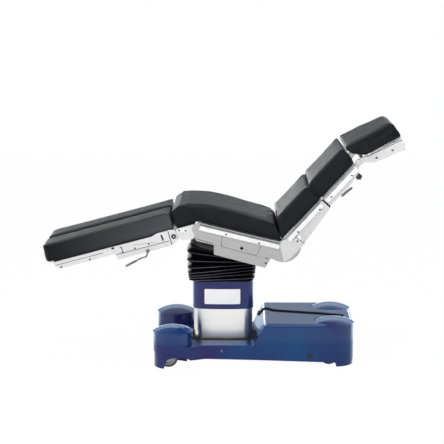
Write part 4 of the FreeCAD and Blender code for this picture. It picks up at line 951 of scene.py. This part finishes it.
def stage_floor():
    """Pale floor that glows white to the view, apart from a small share of real shading."""
    bm = bmesh.new()
    bmesh.ops.create_grid(bm, x_segments=1, y_segments=1, size=9.0)
    mesh = bpy.data.meshes.new("floor")
    bm.to_mesh(mesh)
    bm.free()
    mat = finish("pale_floor", grey(0.96), rough=0.9, specular=0.1)
    tree = mat.node_tree
    glow = tree.nodes.new("ShaderNodeEmission")
    glow.inputs["Color"].default_value = (1, 1, 1, 1)
    glow.inputs["Strength"].default_value = 1.0
    path = tree.nodes.new("ShaderNodeLightPath")
    seen = tree.nodes.new("ShaderNodeMath")
    seen.operation = "MULTIPLY_ADD"
    seen.inputs[1].default_value = 0.985
    tree.links.new(path.outputs["Is Camera Ray"], seen.inputs[0])
    tree.links.new(path.outputs["Is Glossy Ray"], seen.inputs[2])
    both = mixed_shaders(tree, seen.outputs[0], tree.nodes["Principled BSDF"].outputs[0],
                         glow.outputs[0])
    tree.links.new(both, tree.nodes["Material Output"].inputs["Surface"])
    mesh.materials.append(mat)
    floor = bpy.data.objects.new("floor", mesh)
    bpy.context.scene.collection.objects.link(floor)


def stage_world():
    """White to the view, softer for plain light, and shaded by height for reflections.

    The reflected surround has a dark flag at each end of the table.
    """
    world = bpy.data.worlds.new("studio")
    bpy.context.scene.world = world
    world.use_nodes = True
    tree = world.node_tree
    tree.nodes.clear()
    out = tree.nodes.new("ShaderNodeOutputWorld")
    path = tree.nodes.new("ShaderNodeLightPath")
    plain, seen, mirror = (tree.nodes.new("ShaderNodeBackground") for _ in range(3))
    plain.inputs["Color"].default_value = (1, 1, 1, 1)
    plain.inputs["Strength"].default_value = 0.55
    seen.inputs["Color"].default_value = (1, 1, 1, 1)
    seen.inputs["Strength"].default_value = 1.0
    place = tree.nodes.new("ShaderNodeTexCoord").outputs["Generated"]
    endward = tree.nodes.new("ShaderNodeMath")
    endward.operation = "ABSOLUTE"
    tree.links.new(axis_of(tree, place, "X"), endward.inputs[0])
    flags = colour_ramp(tree, endward.outputs[0], ((0.72, grey(1)), (0.92, (0.05, 0.05, 0.055))))
    rise = colour_ramp(tree, axis_of(tree, place, "Z"), (
        (0.02, grey(2.8)), (0.08, (0.33, 0.34, 0.36)), (0.24, grey(0.30)), (0.5, grey(0.95))))
    both = tree.nodes.new("ShaderNodeVectorMath")
    both.operation = "MULTIPLY"
    tree.links.new(flags, both.inputs[0])
    tree.links.new(rise, both.inputs[1])
    tree.links.new(both.outputs["Vector"], mirror.inputs["Color"])
    lighting = mixed_shaders(tree, path.outputs["Is Glossy Ray"], plain.outputs[0],
                             mirror.outputs[0])
    all_rays = mixed_shaders(tree, path.outputs["Is Camera Ray"], lighting, seen.outputs[0])
    tree.links.new(all_rays, out.inputs["Surface"])


def softbox(name, at, aim, size, power):
    data = bpy.data.lights.new(name, "AREA")
    data.shape = "RECTANGLE"
    data.size, data.size_y = size
    data.energy = power
    lamp = bpy.data.objects.new(name, data)
    bpy.context.scene.collection.objects.link(lamp)
    lamp.location = at
    lamp.rotation_euler = (Vector(aim) - Vector(at)).to_track_quat("-Z", "Y").to_euler()


def camera():
    data = bpy.data.cameras.new("view")
    data.lens = 126.24
    data.sensor_width = 36.0
    cam = bpy.data.objects.new("view", data)
    bpy.context.scene.collection.objects.link(cam)
    cam.location = (0.0934, -8.3171, 2.1026)
    cam.rotation_euler = (math.radians(80.699), 0, math.radians(0.690))
    bpy.context.scene.camera = cam


stage_floor()
stage_world()
softbox("key", (-1.6, -3.2, 3.4), (0, 0, 0.6), (2.4, 1.6), 78)
softbox("strip", (0.2, -0.5, 3.4), (0.2, -0.5, 0.6), (3.6, 0.45), 50)
camera()
bpy.context.scene.view_settings.view_transform = "Standard"
